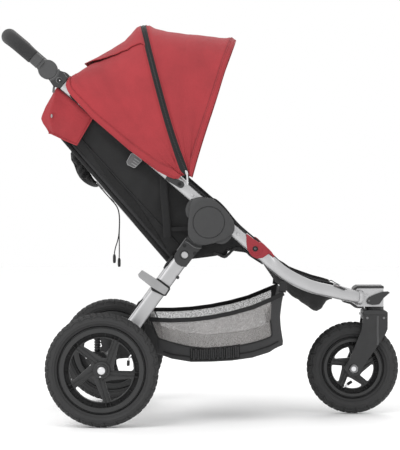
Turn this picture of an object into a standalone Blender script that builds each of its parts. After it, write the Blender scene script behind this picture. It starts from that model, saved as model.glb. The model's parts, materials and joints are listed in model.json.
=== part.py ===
"""Three-wheel stroller with air tyres, a folding chassis, a sun hood and a sprung rear axle.

Metres, +Z up. X points forwards, Y to the rider's left, and the origin lies on the ground
under the middle of the stroller. The right-hand side is at -Y.
"""
import math

import bmesh
import bpy
from mathutils import Matrix, Vector

# Clearances
GAP = 0.0003
RUNNING_GAP = 0.0005
COLLAR_GAP = 0.0008

# Wheels
REAR_WHEEL_RADIUS = 0.1475
FRONT_WHEEL_RADIUS = 0.1255
TYRE_HALF_WIDTH = 0.023
REAR_TRACK_HALF = 0.2895
REAR_AXLE_X = -0.2635
FRONT_AXLE_X = 0.4045
SWIVEL_X = 0.4634
REAR_ROD_RADIUS = 0.006
FRONT_ROD_RADIUS = 0.005
WHEEL_SEGMENTS = 36

# Chassis
HUB = (0.0114, 0.5263)
TUBE_ANGLE = math.radians(139.2)
TUBE_OFFSET = 0.027
TUBE_HALF_WIDTH = 0.01675
TUBE_HALF_DEPTH = 0.011
TUBE_Y = 0.246
TUBE_START = 0.022
TUBE_LENGTH = 0.5168
HANDLE_PIVOT_ALONG = 0.572
LEG_ANGLE = math.radians(234.0)
LEG_Y = 0.216
LEG_HALF_WIDTH = 0.01875
LEG_TOP = 0.118
LEG_BOTTOM = 0.398
HUB_COVER_INNER_Y = 0.2573
HUB_COVER_OUTER_Y = 0.2745

# Handle
HANDLE_ANGLE = math.radians(139.8)
HANDLE_REACH = 0.142
HANDLE_Y = 0.2465
HANDLE_BEND = 0.055
BAR_RADIUS = 0.011
GRIP_RADIUS = 0.018

# Hood
HOOD_PIVOT = (-0.0611, 0.6302)
HOOD_HALF_WIDTH = 0.2665
HOOD_THICKNESS = 0.0023
HOOD_FRONT_ANGLE = 69.0
HOOD_MIDDLE_ANGLE = 103.7

# Suspension
SWING_PIVOT = (-0.205, 0.160)
SPRING_X = -0.278
SPRING_Y = 0.220
SPRING_BOTTOM = 0.1885
SPRING_TOP = 0.2310
SPRING_COIL_RADIUS = 0.0078
SPRING_WIRE_RADIUS = 0.0012
SPRING_TURNS = 5.5

# Seat
BACK_FOOT = (-0.0947, 0.4240)
BACK_ANGLE = math.radians(130.7)
RECLINE_PIVOT = (-0.075, 0.432)

SIDES = {"right": -1.0, "left": 1.0}


def direction(angle):
    """Unit vector in the side plane, as (x, z)."""
    return math.cos(angle), math.sin(angle)


def offset(start, along, distance, across=0.0):
    """Point that lies a distance along a direction, and to the left of it by across."""
    return (
        start[0] + along[0] * distance - along[1] * across,
        start[1] + along[1] * distance + along[0] * across,
    )


TUBE_UP = direction(TUBE_ANGLE)
TUBE_FOOT = offset(HUB, TUBE_UP, 0.0, -TUBE_OFFSET)
LEG_DOWN = direction(LEG_ANGLE)
HANDLE_OUT = direction(HANDLE_ANGLE)
HANDLE_PIVOT = offset(TUBE_FOOT, TUBE_UP, HANDLE_PIVOT_ALONG)
BACK_UP = direction(BACK_ANGLE)


def on_leg(down, behind):
    """Point in leg coordinates: down the leg from the hub, and behind its centre line."""
    return offset(HUB, LEG_DOWN, down, -behind)


BUTTON = on_leg(0.1058, 0.0)
LATCH_PIVOT = on_leg(0.2100, -0.0120)
LEVER_PIVOT = (0.4470, 0.3090)

PIVOTS = {
    "front_frame": Vector((0.0, 0.0, 0.0)),
    "swivel_lever": Vector((LEVER_PIVOT[0], -0.0375, LEVER_PIVOT[1])),
    "fork": Vector((SWIVEL_X, 0.0, 0.2818)),
    "front_wheel": Vector((FRONT_AXLE_X, 0.0, FRONT_WHEEL_RADIUS)),
    "upper_frame": Vector((HUB[0], 0.0, HUB[1])),
    "handle": Vector((HANDLE_PIVOT[0], 0.0, HANDLE_PIVOT[1])),
    "hood_front": Vector((HOOD_PIVOT[0], 0.0, HOOD_PIVOT[1])),
    "hood_middle": Vector((HOOD_PIVOT[0], 0.0, HOOD_PIVOT[1])),
    "seat_back": Vector((RECLINE_PIVOT[0], 0.0, RECLINE_PIVOT[1])),
    "rear_legs": Vector((HUB[0], 0.0, HUB[1])),
    "leg_button_right": Vector((BUTTON[0], -0.2260, BUTTON[1])),
    "leg_button_left": Vector((BUTTON[0], 0.2260, BUTTON[1])),
    "storage_latch": Vector((LATCH_PIVOT[0], -0.2322, LATCH_PIVOT[1])),
    "rear_axle": Vector((SWING_PIVOT[0], 0.0, SWING_PIVOT[1])),
    "brake_pedal": Vector((REAR_AXLE_X, 0.0, REAR_WHEEL_RADIUS)),
    "rear_wheel_right": Vector((REAR_AXLE_X, -REAR_TRACK_HALF, REAR_WHEEL_RADIUS)),
    "rear_wheel_left": Vector((REAR_AXLE_X, REAR_TRACK_HALF, REAR_WHEEL_RADIUS)),
}
PARENTS = {
    "swivel_lever": "front_frame",
    "fork": "front_frame",
    "front_wheel": "fork",
    "upper_frame": "front_frame",
    "handle": "upper_frame",
    "hood_front": "upper_frame",
    "hood_middle": "upper_frame",
    "seat_back": "upper_frame",
    "rear_legs": "front_frame",
    "leg_button_right": "rear_legs",
    "leg_button_left": "rear_legs",
    "storage_latch": "rear_legs",
    "rear_axle": "rear_legs",
    "brake_pedal": "rear_axle",
    "rear_wheel_right": "rear_axle",
    "rear_wheel_left": "rear_axle",
}
FINISHES = {
    "silver_tube": ((0.60, 0.60, 0.61), 0.35, 0.75),
    "silver_casting": ((0.62, 0.62, 0.63), 0.40, 0.70),
    "black_plastic": ((0.075, 0.077, 0.080), 0.55, 0.0),
    "dark_plastic": ((0.045, 0.046, 0.048), 0.50, 0.0),
    "grey_plastic": ((0.35, 0.35, 0.35), 0.50, 0.0),
    "red_plastic": ((0.42, 0.045, 0.060), 0.45, 0.0),
    "wheel_plastic": ((0.030, 0.031, 0.033), 0.50, 0.0),
    "tyre_rubber": ((0.040, 0.041, 0.043), 0.80, 0.0),
    "grip_foam": ((0.035, 0.036, 0.038), 0.90, 0.0),
    "red_fabric": ((0.42, 0.055, 0.070), 0.85, 0.0),
    "black_fabric": ((0.022, 0.022, 0.024), 0.90, 0.0),
    "mesh_fabric": ((0.28, 0.27, 0.26), 0.85, 0.0),
    "webbing": ((0.020, 0.020, 0.022), 0.85, 0.0),
    "bright_steel": ((0.72, 0.72, 0.73), 0.25, 1.0),
    "dark_steel": ((0.10, 0.10, 0.11), 0.40, 0.9),
}


# Scene set-up

def clear_scene():
    for obj in list(bpy.data.objects):
        bpy.data.objects.remove(obj, do_unlink=True)


def make_materials():
    materials = {}
    for name, (colour, roughness, metallic) in FINISHES.items():
        material = bpy.data.materials.new(name)
        material.use_nodes = True
        shader = material.node_tree.nodes["Principled BSDF"]
        shader.inputs["Base Color"].default_value = (*colour, 1.0)
        shader.inputs["Roughness"].default_value = roughness
        shader.inputs["Metallic"].default_value = metallic
        material.diffuse_color = (*colour, 1.0)
        materials[name] = material
    return materials


def make_empties():
    """One empty on each body's joint axis, each hanging from its parent body's empty."""
    empties = {}
    for name, pivot in PIVOTS.items():
        empty = bpy.data.objects.new("pivot_" + name, None)
        bpy.context.scene.collection.objects.link(empty)
        parent = PARENTS.get(name)
        empty.parent = empties.get(parent)
        empty.location = pivot - PIVOTS[parent] if parent else pivot
        empties[name] = empty
    return empties


def add_object(name, data, finish, body):
    obj = bpy.data.objects.new(name, data)
    data.materials.append(MATERIALS[finish])
    bpy.context.scene.collection.objects.link(obj)
    obj.parent = EMPTIES[body]
    return obj


def add_piece(name, bm, finish, body, crease=35.0):
    """Turn a bmesh in world coordinates into a named object on its body's empty."""
    bmesh.ops.translate(bm, verts=bm.verts, vec=-PIVOTS[body])
    bmesh.ops.recalc_face_normals(bm, faces=bm.faces)
    mesh = bpy.data.meshes.new(name)
    bm.to_mesh(mesh)
    bm.free()
    mesh.shade_smooth()
    mesh.set_sharp_from_angle(angle=math.radians(crease))
    return add_object(name, mesh, finish, body)


def apply_tool(obj, bm, operation, label):
    """Cut or join a bmesh in world coordinates with an EXACT Boolean modifier."""
    tool = add_piece(obj.name + "_" + label, bm, "dark_plastic", "front_frame")
    tool.hide_render = True
    tool.display_type = "WIRE"
    modifier = obj.modifiers.new(label, "BOOLEAN")
    modifier.operation = operation
    modifier.object = tool
    return tool


def cut(obj, bm, label):
    return apply_tool(obj, bm, "DIFFERENCE", label)


def join(obj, bm, label):
    return apply_tool(obj, bm, "UNION", label)


def soften(obj, width, segments=2, angle=40.0):
    modifier = obj.modifiers.new("soft_edges", "BEVEL")
    modifier.width = width
    modifier.segments = segments
    modifier.limit_method = "ANGLE"
    modifier.angle_limit = math.radians(angle)
    modifier.harden_normals = False
    return obj


# Outlines and paths

def rounded(corners, steps=4):
    """Outline in the side plane from corners given as (x, z, radius)."""
    points = []
    count = len(corners)
    for index, (x, z, radius) in enumerate(corners):
        here = Vector((x, z))
        before = Vector(corners[index - 1][:2])
        after = Vector(corners[(index + 1) % count][:2])
        if radius == 0.0:
            points.append((x, z))
            continue
        to_before = (before - here).normalized()
        to_after = (after - here).normalized()
        half = to_before.angle(to_after) / 2.0
        reach = radius / math.tan(half)
        middle = here + (to_before + to_after).normalized() * (radius / math.sin(half))
        first = here + to_before * reach - middle
        last = here + to_after * reach - middle
        turn = math.atan2(first.cross(last), first.dot(last))
        for step in range(steps + 1):
            spoke = Matrix.Rotation(turn * step / steps, 2) @ first
            points.append((middle.x + spoke.x, middle.y + spoke.y))
    return points


def arc(centre, radius, first, last, steps):
    """Points along an arc, angles in degrees."""
    points = []
    for step in range(steps + 1):
        angle = math.radians(first + (last - first) * step / steps)
        points.append((centre[0] + radius * math.cos(angle), centre[1] + radius * math.sin(angle)))
    return points


def smooth_path(points, per_span):
    """Catmull-Rom curve through the given points."""
    points = [Vector(point) for point in points]
    ends = [points[0] * 2.0 - points[1]] + points + [points[-1] * 2.0 - points[-2]]
    path = []
    for index in range(1, len(ends) - 2):
        before, here, there, after = ends[index - 1:index + 3]
        for step in range(per_span):
            t = step / per_span
            path.append(
                0.5 * (
                    2.0 * here
                    + (there - before) * t
                    + (2.0 * before - 5.0 * here + 4.0 * there - after) * t * t
                    + (3.0 * here - before - 3.0 * there + after) * t * t * t
                )
            )
    path.append(points[-1])
    return path


# Solids, each a closed bmesh in world coordinates

def add_rings(bm, rings, cyclic=False, caps=True):
    """Join equal rings of points one after another into a skin."""
    made = [[bm.verts.new(point) for point in ring] for ring in rings]
    count = len(made[0])
    spans = len(made) if cyclic else len(made) - 1
    for index in range(spans):
        first = made[index]
        second = made[(index + 1) % len(made)]
        for step in range(count):
            after = (step + 1) % count
            bm.faces.new((first[step], first[after], second[after], second[step]))
    if caps and not cyclic:
        bm.faces.new(made[0])
        bm.faces.new(list(reversed(made[-1])))
    return made


def loft(rings, cyclic=False):
    bm = bmesh.new()
    add_rings(bm, rings, cyclic)
    return bm


def slab(outline, y_low, y_high):
    """Side outline extruded along Y."""
    rings = [[(x, y, z) for x, z in outline] for y in (y_low, y_high)]
    return loft(rings)


def side_slab(outline, side, inner, outer):
    """Slab on one side of the stroller, between two distances from its middle plane."""
    low, high = sorted((side * inner, side * outer))
    return slab(outline, low, high)


def turned(profile, centre, segments, start=-90.0):
    """Ring turned about an axis along Y; the profile is a closed loop of (radius, y)."""
    rings = []
    for step in range(segments):
        angle = math.radians(start + 360.0 * step / segments)
        rings.append([
            (centre[0] + radius * math.cos(angle), centre[1] + y, centre[2] + radius * math.sin(angle))
            for radius, y in profile
        ])
    return loft(rings, cyclic=True)


def rod(centre, stations, segments, axis="Y"):
    """Round solid on an axis; stations are (radius, distance along the axis)."""
    rings = []
    for radius, along in stations:
        ring = []
        for step in range(segments):
            angle = 2.0 * math.pi * step / segments
            first, second = radius * math.cos(angle), radius * math.sin(angle)
            local = (first, along, second) if axis == "Y" else (first, second, along)
            ring.append(tuple(a + b for a, b in zip(centre, local)))
        rings.append(ring)
    return loft(rings)


def tube_ring(centre, across, up, half_across, half_up, sides, power):
    """One section of a tube; a power above 2 squares it off."""
    ring = []
    for step in range(sides):
        angle = 2.0 * math.pi * (step + 0.5) / sides
        c, s = math.cos(angle), math.sin(angle)
        first = math.copysign(abs(c) ** (2.0 / power), c) * half_across
        second = math.copysign(abs(s) ** (2.0 / power), s) * half_up
        ring.append(centre + across * first + up * second)
    return ring


def swept_rings(path, half_across, half_up, sides, power=2.0, level=True):
    """Sections along a path; level tubes keep one section axis horizontal."""
    path = [Vector(point) for point in path]
    rings = []
    across = None
    for index, point in enumerate(path):
        before = path[max(index - 1, 0)]
        after = path[min(index + 1, len(path) - 1)]
        along = (after - before).normalized()
        if level:
            across = Vector((0.0, 0.0, 1.0)).cross(along).normalized()
        elif across is None:
            across = along.orthogonal().normalized()
        else:
            across = (across - along * across.dot(along)).normalized()
        rings.append(tube_ring(point, across, along.cross(across), half_across, half_up, sides, power))
    return rings


def frame_tube(path, grow=0.0):
    """Oval frame tube along a path, grown by a little for a clearance cut."""
    return loft(swept_rings(path, TUBE_HALF_DEPTH + grow, TUBE_HALF_WIDTH + grow, 12, power=2.6))


def hollow_tube(path, outer, inner, sides):
    """Round tube with a bore."""
    bm = bmesh.new()
    skin = add_rings(bm, swept_rings(path, outer, outer, sides, level=False), caps=False)
    bore = add_rings(bm, swept_rings(path, inner, inner, sides, level=False), caps=False)
    for index in (0, -1):
        for step in range(sides):
            after = (step + 1) % sides
            bm.faces.new((skin[index][step], skin[index][after], bore[index][after], bore[index][step]))
    return bm


def sheet(grid, thickness, inward):
    """Closed fabric sheet: a grid of points and its copy moved along inward(point, row, column)."""
    bm = bmesh.new()
    rows, columns = len(grid), len(grid[0])
    outer = [[bm.verts.new(point) for point in row] for row in grid]
    inner = [
        [bm.verts.new(Vector(grid[r][c]) + inward(r, c) * thickness) for c in range(columns)]
        for r in range(rows)
    ]
    for r in range(rows - 1):
        for c in range(columns - 1):
            bm.faces.new((outer[r][c], outer[r][c + 1], outer[r + 1][c + 1], outer[r + 1][c]))
            bm.faces.new((inner[r][c], inner[r + 1][c], inner[r + 1][c + 1], inner[r][c + 1]))
    rim = [(0, c) for c in range(columns)]
    rim += [(r, columns - 1) for r in range(1, rows)]
    rim += [(rows - 1, c) for c in range(columns - 2, -1, -1)]
    rim += [(r, 0) for r in range(rows - 2, 0, -1)]
    for index, (r, c) in enumerate(rim):
        r2, c2 = rim[(index + 1) % len(rim)]
        bm.faces.new((outer[r][c], inner[r][c], inner[r2][c2], outer[r2][c2]))
    return bm


def grid_normals(grid):
    """Unit normals of a grid of points, from its rows and columns."""
    rows, columns = len(grid), len(grid[0])

    def normal(r, c):
        down = Vector(grid[min(r + 1, rows - 1)][c]) - Vector(grid[max(r - 1, 0)][c])
        right = Vector(grid[r][min(c + 1, columns - 1)]) - Vector(grid[r][max(c - 1, 0)])
        return down.cross(right).normalized()

    return normal


# Wheels

REAR_SPOKES = (63.0, 133.0, 205.0, 279.0, 350.0)
FRONT_SPOKES = (25.0, 95.0, 167.0, 241.0, 310.0)
REAR_RIM = 0.112
FRONT_RIM = 0.082


def tyre_profile(wheel_radius, rim_radius):
    """Rounded tyre section with a flat bead, as (radius, y)."""
    height = wheel_radius - rim_radius - GAP
    middle = wheel_radius - height * 0.50
    points = [(rim_radius + GAP, -0.016), (rim_radius + GAP, 0.016)]
    for angle in range(-30, 211, 30):
        points.append((
            middle + height * 0.50 * math.sin(math.radians(angle)),
            TYRE_HALF_WIDTH * math.cos(math.radians(angle)),
        ))
    return points


def spoke_windows(spokes, inner, outer, half_spoke, centre, lean):
    """Openings between the spokes, drawn from the hub to the rim."""
    outlines = []
    for index, here in enumerate(spokes):
        there = spokes[(index + 1) % len(spokes)]
        there = there + 360.0 if there < here else there
        outer_trim = math.degrees(half_spoke / outer)
        inner_trim = math.degrees(half_spoke / inner)
        corner = math.degrees(0.006 / outer)
        rim_side = [offset(centre, direction(math.radians(here + outer_trim)), outer - 0.006)]
        rim_side += arc(centre, outer, here + outer_trim + corner, there - outer_trim - corner, 3)
        rim_side.append(offset(centre, direction(math.radians(there - outer_trim)), outer - 0.006))
        hub_side = arc(centre, inner, there - inner_trim + lean, here + inner_trim + lean, 1)
        outlines.append(rim_side + hub_side)
    return outlines


def wheel(prefix, body, centre, radius, rim, spokes, rod_radius, hub_half, sign):
    """A rim with five spokes and its tyre; sign is the side its face looks to."""
    ring = rim - 0.0145
    well = rim - 0.026
    hub = 0.023
    web_low, web_high = sorted((sign * 0.008, sign * -0.002))
    profile = [
        (rod_radius + RUNNING_GAP, -hub_half), (rod_radius + RUNNING_GAP, hub_half), (hub, hub_half),
        (hub + 0.002, web_high), (well, web_high), (ring, 0.0110), (rim, 0.0160),
        (rim, -0.0160), (ring, -0.0110), (well, web_low), (hub + 0.002, web_low), (hub, -hub_half),
    ]
    name = "rim" if prefix == "front" else "rim_" + body.split("_")[-1]
    obj = add_piece(prefix + "_" + name, turned(profile, centre, WHEEL_SEGMENTS), "wheel_plastic", body)
    side_centre = (centre[0], centre[2])
    windows = bmesh.new()
    inner = hub + 0.008
    for outline in spoke_windows(spokes, inner, well, 0.009, side_centre, -4.0):
        rings = [[(x, centre[1] + y, z) for x, z in outline] for y in (-0.03, 0.03)]
        add_rings(windows, rings)
    cut(obj, windows, "windows")
    tyre = turned(tyre_profile(radius, rim), centre, WHEEL_SEGMENTS)
    add_piece(prefix + "_" + name.replace("rim", "tyre"), tyre, "tyre_rubber", body, crease=50.0)


def make_wheels():
    front = (FRONT_AXLE_X, 0.0, FRONT_WHEEL_RADIUS)
    wheel("front", "front_wheel", front, FRONT_WHEEL_RADIUS, FRONT_RIM, FRONT_SPOKES,
          FRONT_ROD_RADIUS, 0.0290, -1.0)
    for label, side in SIDES.items():
        centre = (REAR_AXLE_X, side * REAR_TRACK_HALF, REAR_WHEEL_RADIUS)
        spokes = REAR_SPOKES
        wheel("rear", "rear_wheel_" + label, centre, REAR_WHEEL_RADIUS, REAR_RIM, spokes,
              REAR_ROD_RADIUS, 0.017, side)


# Front fork and housing

FORK_BLADE_INNER = 0.0300
FORK_BLADE_OUTER = 0.0415
FORK_TOP = 0.2815


def make_fork():
    wheel_centre = (FRONT_AXLE_X, FRONT_WHEEL_RADIUS)
    blade = [(0.4300, 0.2620), (0.4255, 0.2300), (0.3880, 0.1360)]
    blade += arc(wheel_centre, 0.0190, 168.0, 318.0, 7)
    blade += [(0.4735, 0.1935), (0.4900, 0.2180), (0.4966, 0.2330), (0.4966, FORK_TOP - 0.004)]
    blade += [(0.4930, FORK_TOP), (0.4300, FORK_TOP)]
    crown = [(0.4303, 0.2580), (0.4700, 0.2580), (0.4760, 0.2380), (0.4895, 0.2240)]
    crown += [(0.4963, 0.2340), (0.4963, FORK_TOP - 0.0045), (0.4927, FORK_TOP - 0.0003)]
    crown += [(0.4303, FORK_TOP - 0.0003)]
    fork = add_piece("front_fork", slab(crown, -FORK_BLADE_OUTER + 0.001, FORK_BLADE_OUTER - 0.001),
                     "black_plastic", "fork")
    for label, side in SIDES.items():
        join(fork, side_slab(blade, side, FORK_BLADE_INNER, FORK_BLADE_OUTER), "blade_" + label)
    bore = rod((FRONT_AXLE_X, 0.0, FRONT_WHEEL_RADIUS),
               [(FRONT_ROD_RADIUS + GAP, -0.05), (FRONT_ROD_RADIUS + GAP, 0.05)], 16)
    cut(fork, bore, "axle_bore")

    head = 0.0115
    rod_stations = [
        (head * 0.8, -0.0475), (head, -0.0455), (head, -0.0419), (FRONT_ROD_RADIUS, -0.0419),
        (FRONT_ROD_RADIUS, 0.0419), (head, 0.0419), (head, 0.0455), (head * 0.8, 0.0475),
    ]
    axle = rod((FRONT_AXLE_X, 0.0, FRONT_WHEEL_RADIUS), rod_stations, 16)
    add_piece("front_axle", axle, "bright_steel", "fork")

    stem = [(0.0260, FORK_TOP + GAP), (0.0260, 0.2925), (0.0085, 0.2925), (0.0085, 0.3250)]
    add_piece("swivel_stem", rod((SWIVEL_X, 0.0, 0.0), stem, 24, axis="Z"), "dark_plastic", "fork")


HOUSING_HALF_WIDTH = 0.034


def housing_outline(grow=0.0):
    return [
        (0.4040 - grow, 0.3030 - grow), (0.4160 - grow, 0.2935 - grow), (0.4856 + grow, 0.2935 - grow),
        (0.4856 + grow, 0.3450 + grow), (0.4130 - grow, 0.3450 + grow), (0.4040 - grow, 0.3370 + grow),
    ]


def make_housing():
    half = HOUSING_HALF_WIDTH
    housing = add_piece("front_housing", slab(housing_outline(), -half, half), "silver_casting", "front_frame")
    stem_bore = rod((SWIVEL_X, 0.0, 0.0), [(0.0090, 0.28), (0.0090, 0.3260)], 20, axis="Z")
    cut(housing, stem_bore, "stem_bore")

    corners = [(0.4110, 0.3453, 0.0), (0.4862, 0.3453, 0.0), (0.4862, 0.3495, 0.002), (0.4150, 0.3495, 0.002)]
    cover = rounded(corners, 2)
    add_piece("housing_cover", slab(cover, -half - 0.001, half + 0.001), "dark_plastic", "front_frame")

    lever = [
        (0.4388, 0.3085), (0.4452, 0.3188), (0.4630, 0.3270), (0.4829, 0.3341), (0.4972, 0.3349),
        (0.5023, 0.3314), (0.4858, 0.3173), (0.4734, 0.2998), (0.4548, 0.2979), (0.4412, 0.3015),
    ]
    add_piece("swivel_lock_lever", slab(lever, -0.0405, -half - GAP), "dark_plastic", "swivel_lever")


# Frame tubes

FRONT_TUBE_BEND = (
    (0.1558, 0.2460, 0.4379), (0.1780, 0.2435, 0.4175), (0.2153, 0.2150, 0.3879), (0.2765, 0.1600, 0.3569),
    (0.3370, 0.1070, 0.3394), (0.3932, 0.0580, 0.3245), (0.4300, 0.0260, 0.3165),
)


def front_tube_path(side):
    """Straight down from the hub, then curving in towards the front housing."""
    down = (-TUBE_UP[0], -TUBE_UP[1])
    route = []
    for distance in (TUBE_START, 0.080, 0.135):
        x, z = offset(TUBE_FOOT, down, distance)
        route.append((x, side * TUBE_Y, z))
    route += [(x, side * y, z) for x, y, z in FRONT_TUBE_BEND]
    return smooth_path(route, 2)


def make_front_tubes():
    for label, side in SIDES.items():
        path = front_tube_path(side)
        tube = add_piece("front_tube_" + label, frame_tube(path), "silver_tube", "front_frame", crease=50.0)
        cut(tube, slab(housing_outline(GAP), -HOUSING_HALF_WIDTH - GAP, HOUSING_HALF_WIDTH + GAP), "housing")

        collar = rounded([
            (0.1080, 0.5010, 0.004), (0.1380, 0.4790, 0.010), (0.1560, 0.4700, 0.010), (0.1720, 0.4520, 0.008),
            (0.1835, 0.4350, 0.003), (0.1690, 0.4190, 0.006), (0.1500, 0.4230, 0.010), (0.1300, 0.4310, 0.008),
            (0.1060, 0.4560, 0.006),
        ], 2)
        piece = add_piece("joint_collar_" + label, side_slab(collar, side, 0.2320, 0.2590), "red_plastic",
                          "front_frame")
        cut(piece, frame_tube(path, COLLAR_GAP), "tube")


def make_hubs():
    """Right and left folding hubs: the front frame's cover and the upper frame's turning disc."""
    x, z = HUB
    cover = rounded([
        (x - 0.0500, z + 0.0690, 0.018), (x - 0.0100, z + 0.0705, 0.030), (x + 0.0730, z - 0.0050, 0.026),
        (x + 0.0600, z - 0.0400, 0.016), (x - 0.0180, z - 0.0610, 0.030), (x - 0.0560, z - 0.0480, 0.026),
    ], 5)
    for label, side in SIDES.items():
        plate = side_slab(cover, side, HUB_COVER_INNER_Y, HUB_COVER_OUTER_Y)
        soften(add_piece("hub_cover_" + label, plate, "black_plastic", "front_frame"), 0.0035)

        disc = [
            (0.0655, side * 0.2300), (0.0655, side * 0.2347), (0.0090, side * 0.2347), (0.0090, side * 0.2570),
        ]
        core = rod((x, 0.0, z), disc, 36)
        add_piece("hub_disc_" + label, core, "black_plastic", "upper_frame")


def make_upper_tubes():
    for label, side in SIDES.items():
        ends = [offset(TUBE_FOOT, TUBE_UP, distance) for distance in (TUBE_START, 0.2, 0.36, TUBE_LENGTH)]
        path = [(x, side * TUBE_Y, z) for x, z in ends]
        add_piece("upper_tube_" + label, frame_tube(path), "silver_tube", "upper_frame", crease=50.0)


# Rear legs

def leg_path(side, top, bottom):
    return [(*on_leg(down, 0.0)[:1], side * LEG_Y, on_leg(down, 0.0)[1]) for down in (top, bottom)]


def leg_solid(side, top, bottom, grow=0.0):
    path = leg_path(side, top, bottom)
    return loft(swept_rings(path, TUBE_HALF_DEPTH + grow, LEG_HALF_WIDTH + grow, 12, power=3.0))


def make_legs():
    leg_degrees = math.degrees(LEG_ANGLE)
    for label, side in SIDES.items():
        leg = leg_solid(side, LEG_TOP, LEG_BOTTOM)
        add_piece("rear_leg_" + label, leg, "silver_tube", "rear_legs", crease=50.0)

        outline = arc(HUB, 0.0330, leg_degrees + 78.0, leg_degrees + 282.0, 12)
        outline += [on_leg(0.0600, 0.0222), on_leg(0.1180, 0.0222)]
        outline += [on_leg(0.1280, 0.0190), on_leg(0.1345, 0.0100), on_leg(0.1365, 0.0)]
        outline += [on_leg(0.1350, -0.0110), on_leg(0.1290, -0.0210), on_leg(0.0600, -0.0222)]
        bracket = add_piece("leg_bracket_" + label, side_slab(outline, side, 0.2035, 0.2295),
                            "dark_plastic", "rear_legs")
        cut(bracket, leg_solid(side, LEG_TOP - GAP, 0.17, GAP), "leg_socket")
        button_hole = rod((BUTTON[0], 0.0, BUTTON[1]), [(0.0097, side * 0.2190), (0.0097, side * 0.2400)], 20)
        cut(bracket, button_hole, "button_hole")

        button = [(0.0092, side * 0.2228), (0.0092, side * 0.2303), (0.0078, side * 0.2318)]
        add_piece("leg_button_" + label, rod((BUTTON[0], 0.0, BUTTON[1]), button, 20), "bright_steel",
                  "leg_button_" + label)


def make_latch():
    """Storage hook on the right rear leg."""
    corners = [
        (0.2181, 0.0686, 0.003), (0.2023, 0.0673, 0.004), (0.1999, 0.0287, 0.0), (0.2009, -0.0181, 0.003),
        (0.2202, -0.0193, 0.004), (0.2241, 0.0240, 0.0), (0.2223, 0.0621, 0.003),
    ]
    outline = rounded([(*on_leg(down, behind), radius) for down, behind, radius in corners], 3)
    add_piece("storage_latch", side_slab(outline, -1.0, 0.2299, 0.2345), "grey_plastic", "storage_latch")


# Sprung rear axle

def make_suspension():
    housing = [
        (-0.1905, 0.2100), (-0.1975, 0.2190), (-0.2190, 0.2420), (-0.2330, 0.2480), (-0.2880, 0.2440),
        (-0.2930, 0.2390), (-0.2930, 0.2315), (-0.2620, 0.2315), (-0.2520, 0.2060), (-0.2440, 0.1900),
        (-0.2280, 0.1820), (-0.1850, 0.1800),
    ]
    arm = arc(SWING_PIVOT, 0.0130, 80.0, -100.0, 8)
    arm += [(-0.2500, 0.1300)]
    arm += arc((REAR_AXLE_X, REAR_WHEEL_RADIUS), 0.0180, 280.0, 200.0, 3)
    arm += [(-0.2930, 0.1730), (-0.2930, 0.1882), (-0.2630, 0.1882), (-0.2520, 0.1760), (-0.2250, 0.1700)]
    for label, side in SIDES.items():
        shell = add_piece("suspension_housing_" + label, side_slab(housing, side, 0.2025, 0.2305),
                          "dark_plastic", "rear_legs")
        ear = [(-0.2210, 0.1850), (-0.2210, 0.1600)] + arc(SWING_PIVOT, 0.0140, 180.0, 360.0, 6)
        ear += [(-0.1910, 0.1850)]
        join(shell, side_slab(ear, side, 0.2025, 0.2088), "ear")
        cut(shell, leg_solid(side, 0.30, LEG_BOTTOM + GAP, GAP), "leg_socket")

        swing = add_piece("swing_arm_" + label, side_slab(arm, side, 0.2095, 0.2305), "dark_plastic", "rear_axle")
        centre = (REAR_AXLE_X, 0.0, REAR_WHEEL_RADIUS)
        join(swing, rod(centre, [(0.0165, side * 0.2200), (0.0165, side * 0.2700)], 20), "boss")
        bore = REAR_ROD_RADIUS + GAP
        cut(swing, rod(centre, [(bore, side * 0.1900), (bore, side * 0.2900)], 16), "axle_bore")

        make_spring("suspension_spring_" + label, side * SPRING_Y)

    tube = turned([(0.0066, -0.2092), (0.0066, 0.2092), (0.0120, 0.2092), (0.0120, -0.2092)],
                  (REAR_AXLE_X, 0.0, REAR_WHEEL_RADIUS), 20)
    add_piece("rear_axle_tube", tube, "dark_steel", "rear_axle")
    end = 0.0094
    stations = [
        (end * 0.75, -0.3120), (end, -0.3105), (end, -0.3068), (REAR_ROD_RADIUS, -0.3068),
        (REAR_ROD_RADIUS, 0.3068), (end, 0.3068), (end, 0.3105), (end * 0.75, 0.3120),
    ]
    add_piece("rear_axle_rod", rod((REAR_AXLE_X, 0.0, REAR_WHEEL_RADIUS), stations, 16), "bright_steel",
              "rear_axle")


def make_spring(name, y):
    """Coil spring as one unbroken wire with straight upright ends."""
    points_per_turn = 9
    end = 2.0 * SPRING_WIRE_RADIUS
    low = SPRING_BOTTOM + end
    rise = SPRING_TOP - SPRING_BOTTOM - 2.0 * end
    count = int(SPRING_TURNS * points_per_turn)
    points = [Vector((SPRING_X + SPRING_COIL_RADIUS, y, SPRING_BOTTOM))]
    for step in range(count + 1):
        angle = 2.0 * math.pi * step / points_per_turn
        points.append(Vector((
            SPRING_X + SPRING_COIL_RADIUS * math.cos(angle),
            y + SPRING_COIL_RADIUS * math.sin(angle),
            low + rise * step / count,
        )))
    points.append(Vector((points[-1].x, points[-1].y, SPRING_TOP)))
    least = min(
        (points[i] - points[j]).length - end
        for i in range(len(points)) for j in range(i + points_per_turn // 2, len(points))
    )
    print(name, "least gap between its turns", round(least * 1000.0, 2), "mm")
    add_wire(name, points, SPRING_WIRE_RADIUS, 1, "dark_steel", "rear_legs")


def add_wire(name, points, radius, resolution, finish, body):
    """Round wire or cord: a curve with filled caps."""
    curve = bpy.data.curves.new(name, "CURVE")
    curve.dimensions = "3D"
    curve.bevel_depth = radius
    curve.bevel_resolution = resolution
    curve.use_fill_caps = True
    spline = curve.splines.new("POLY")
    spline.points.add(len(points) - 1)
    for target, point in zip(spline.points, points):
        target.co = (*(Vector(point) - PIVOTS[body]), 1.0)
    return add_object(name, curve, finish, body)


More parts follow.
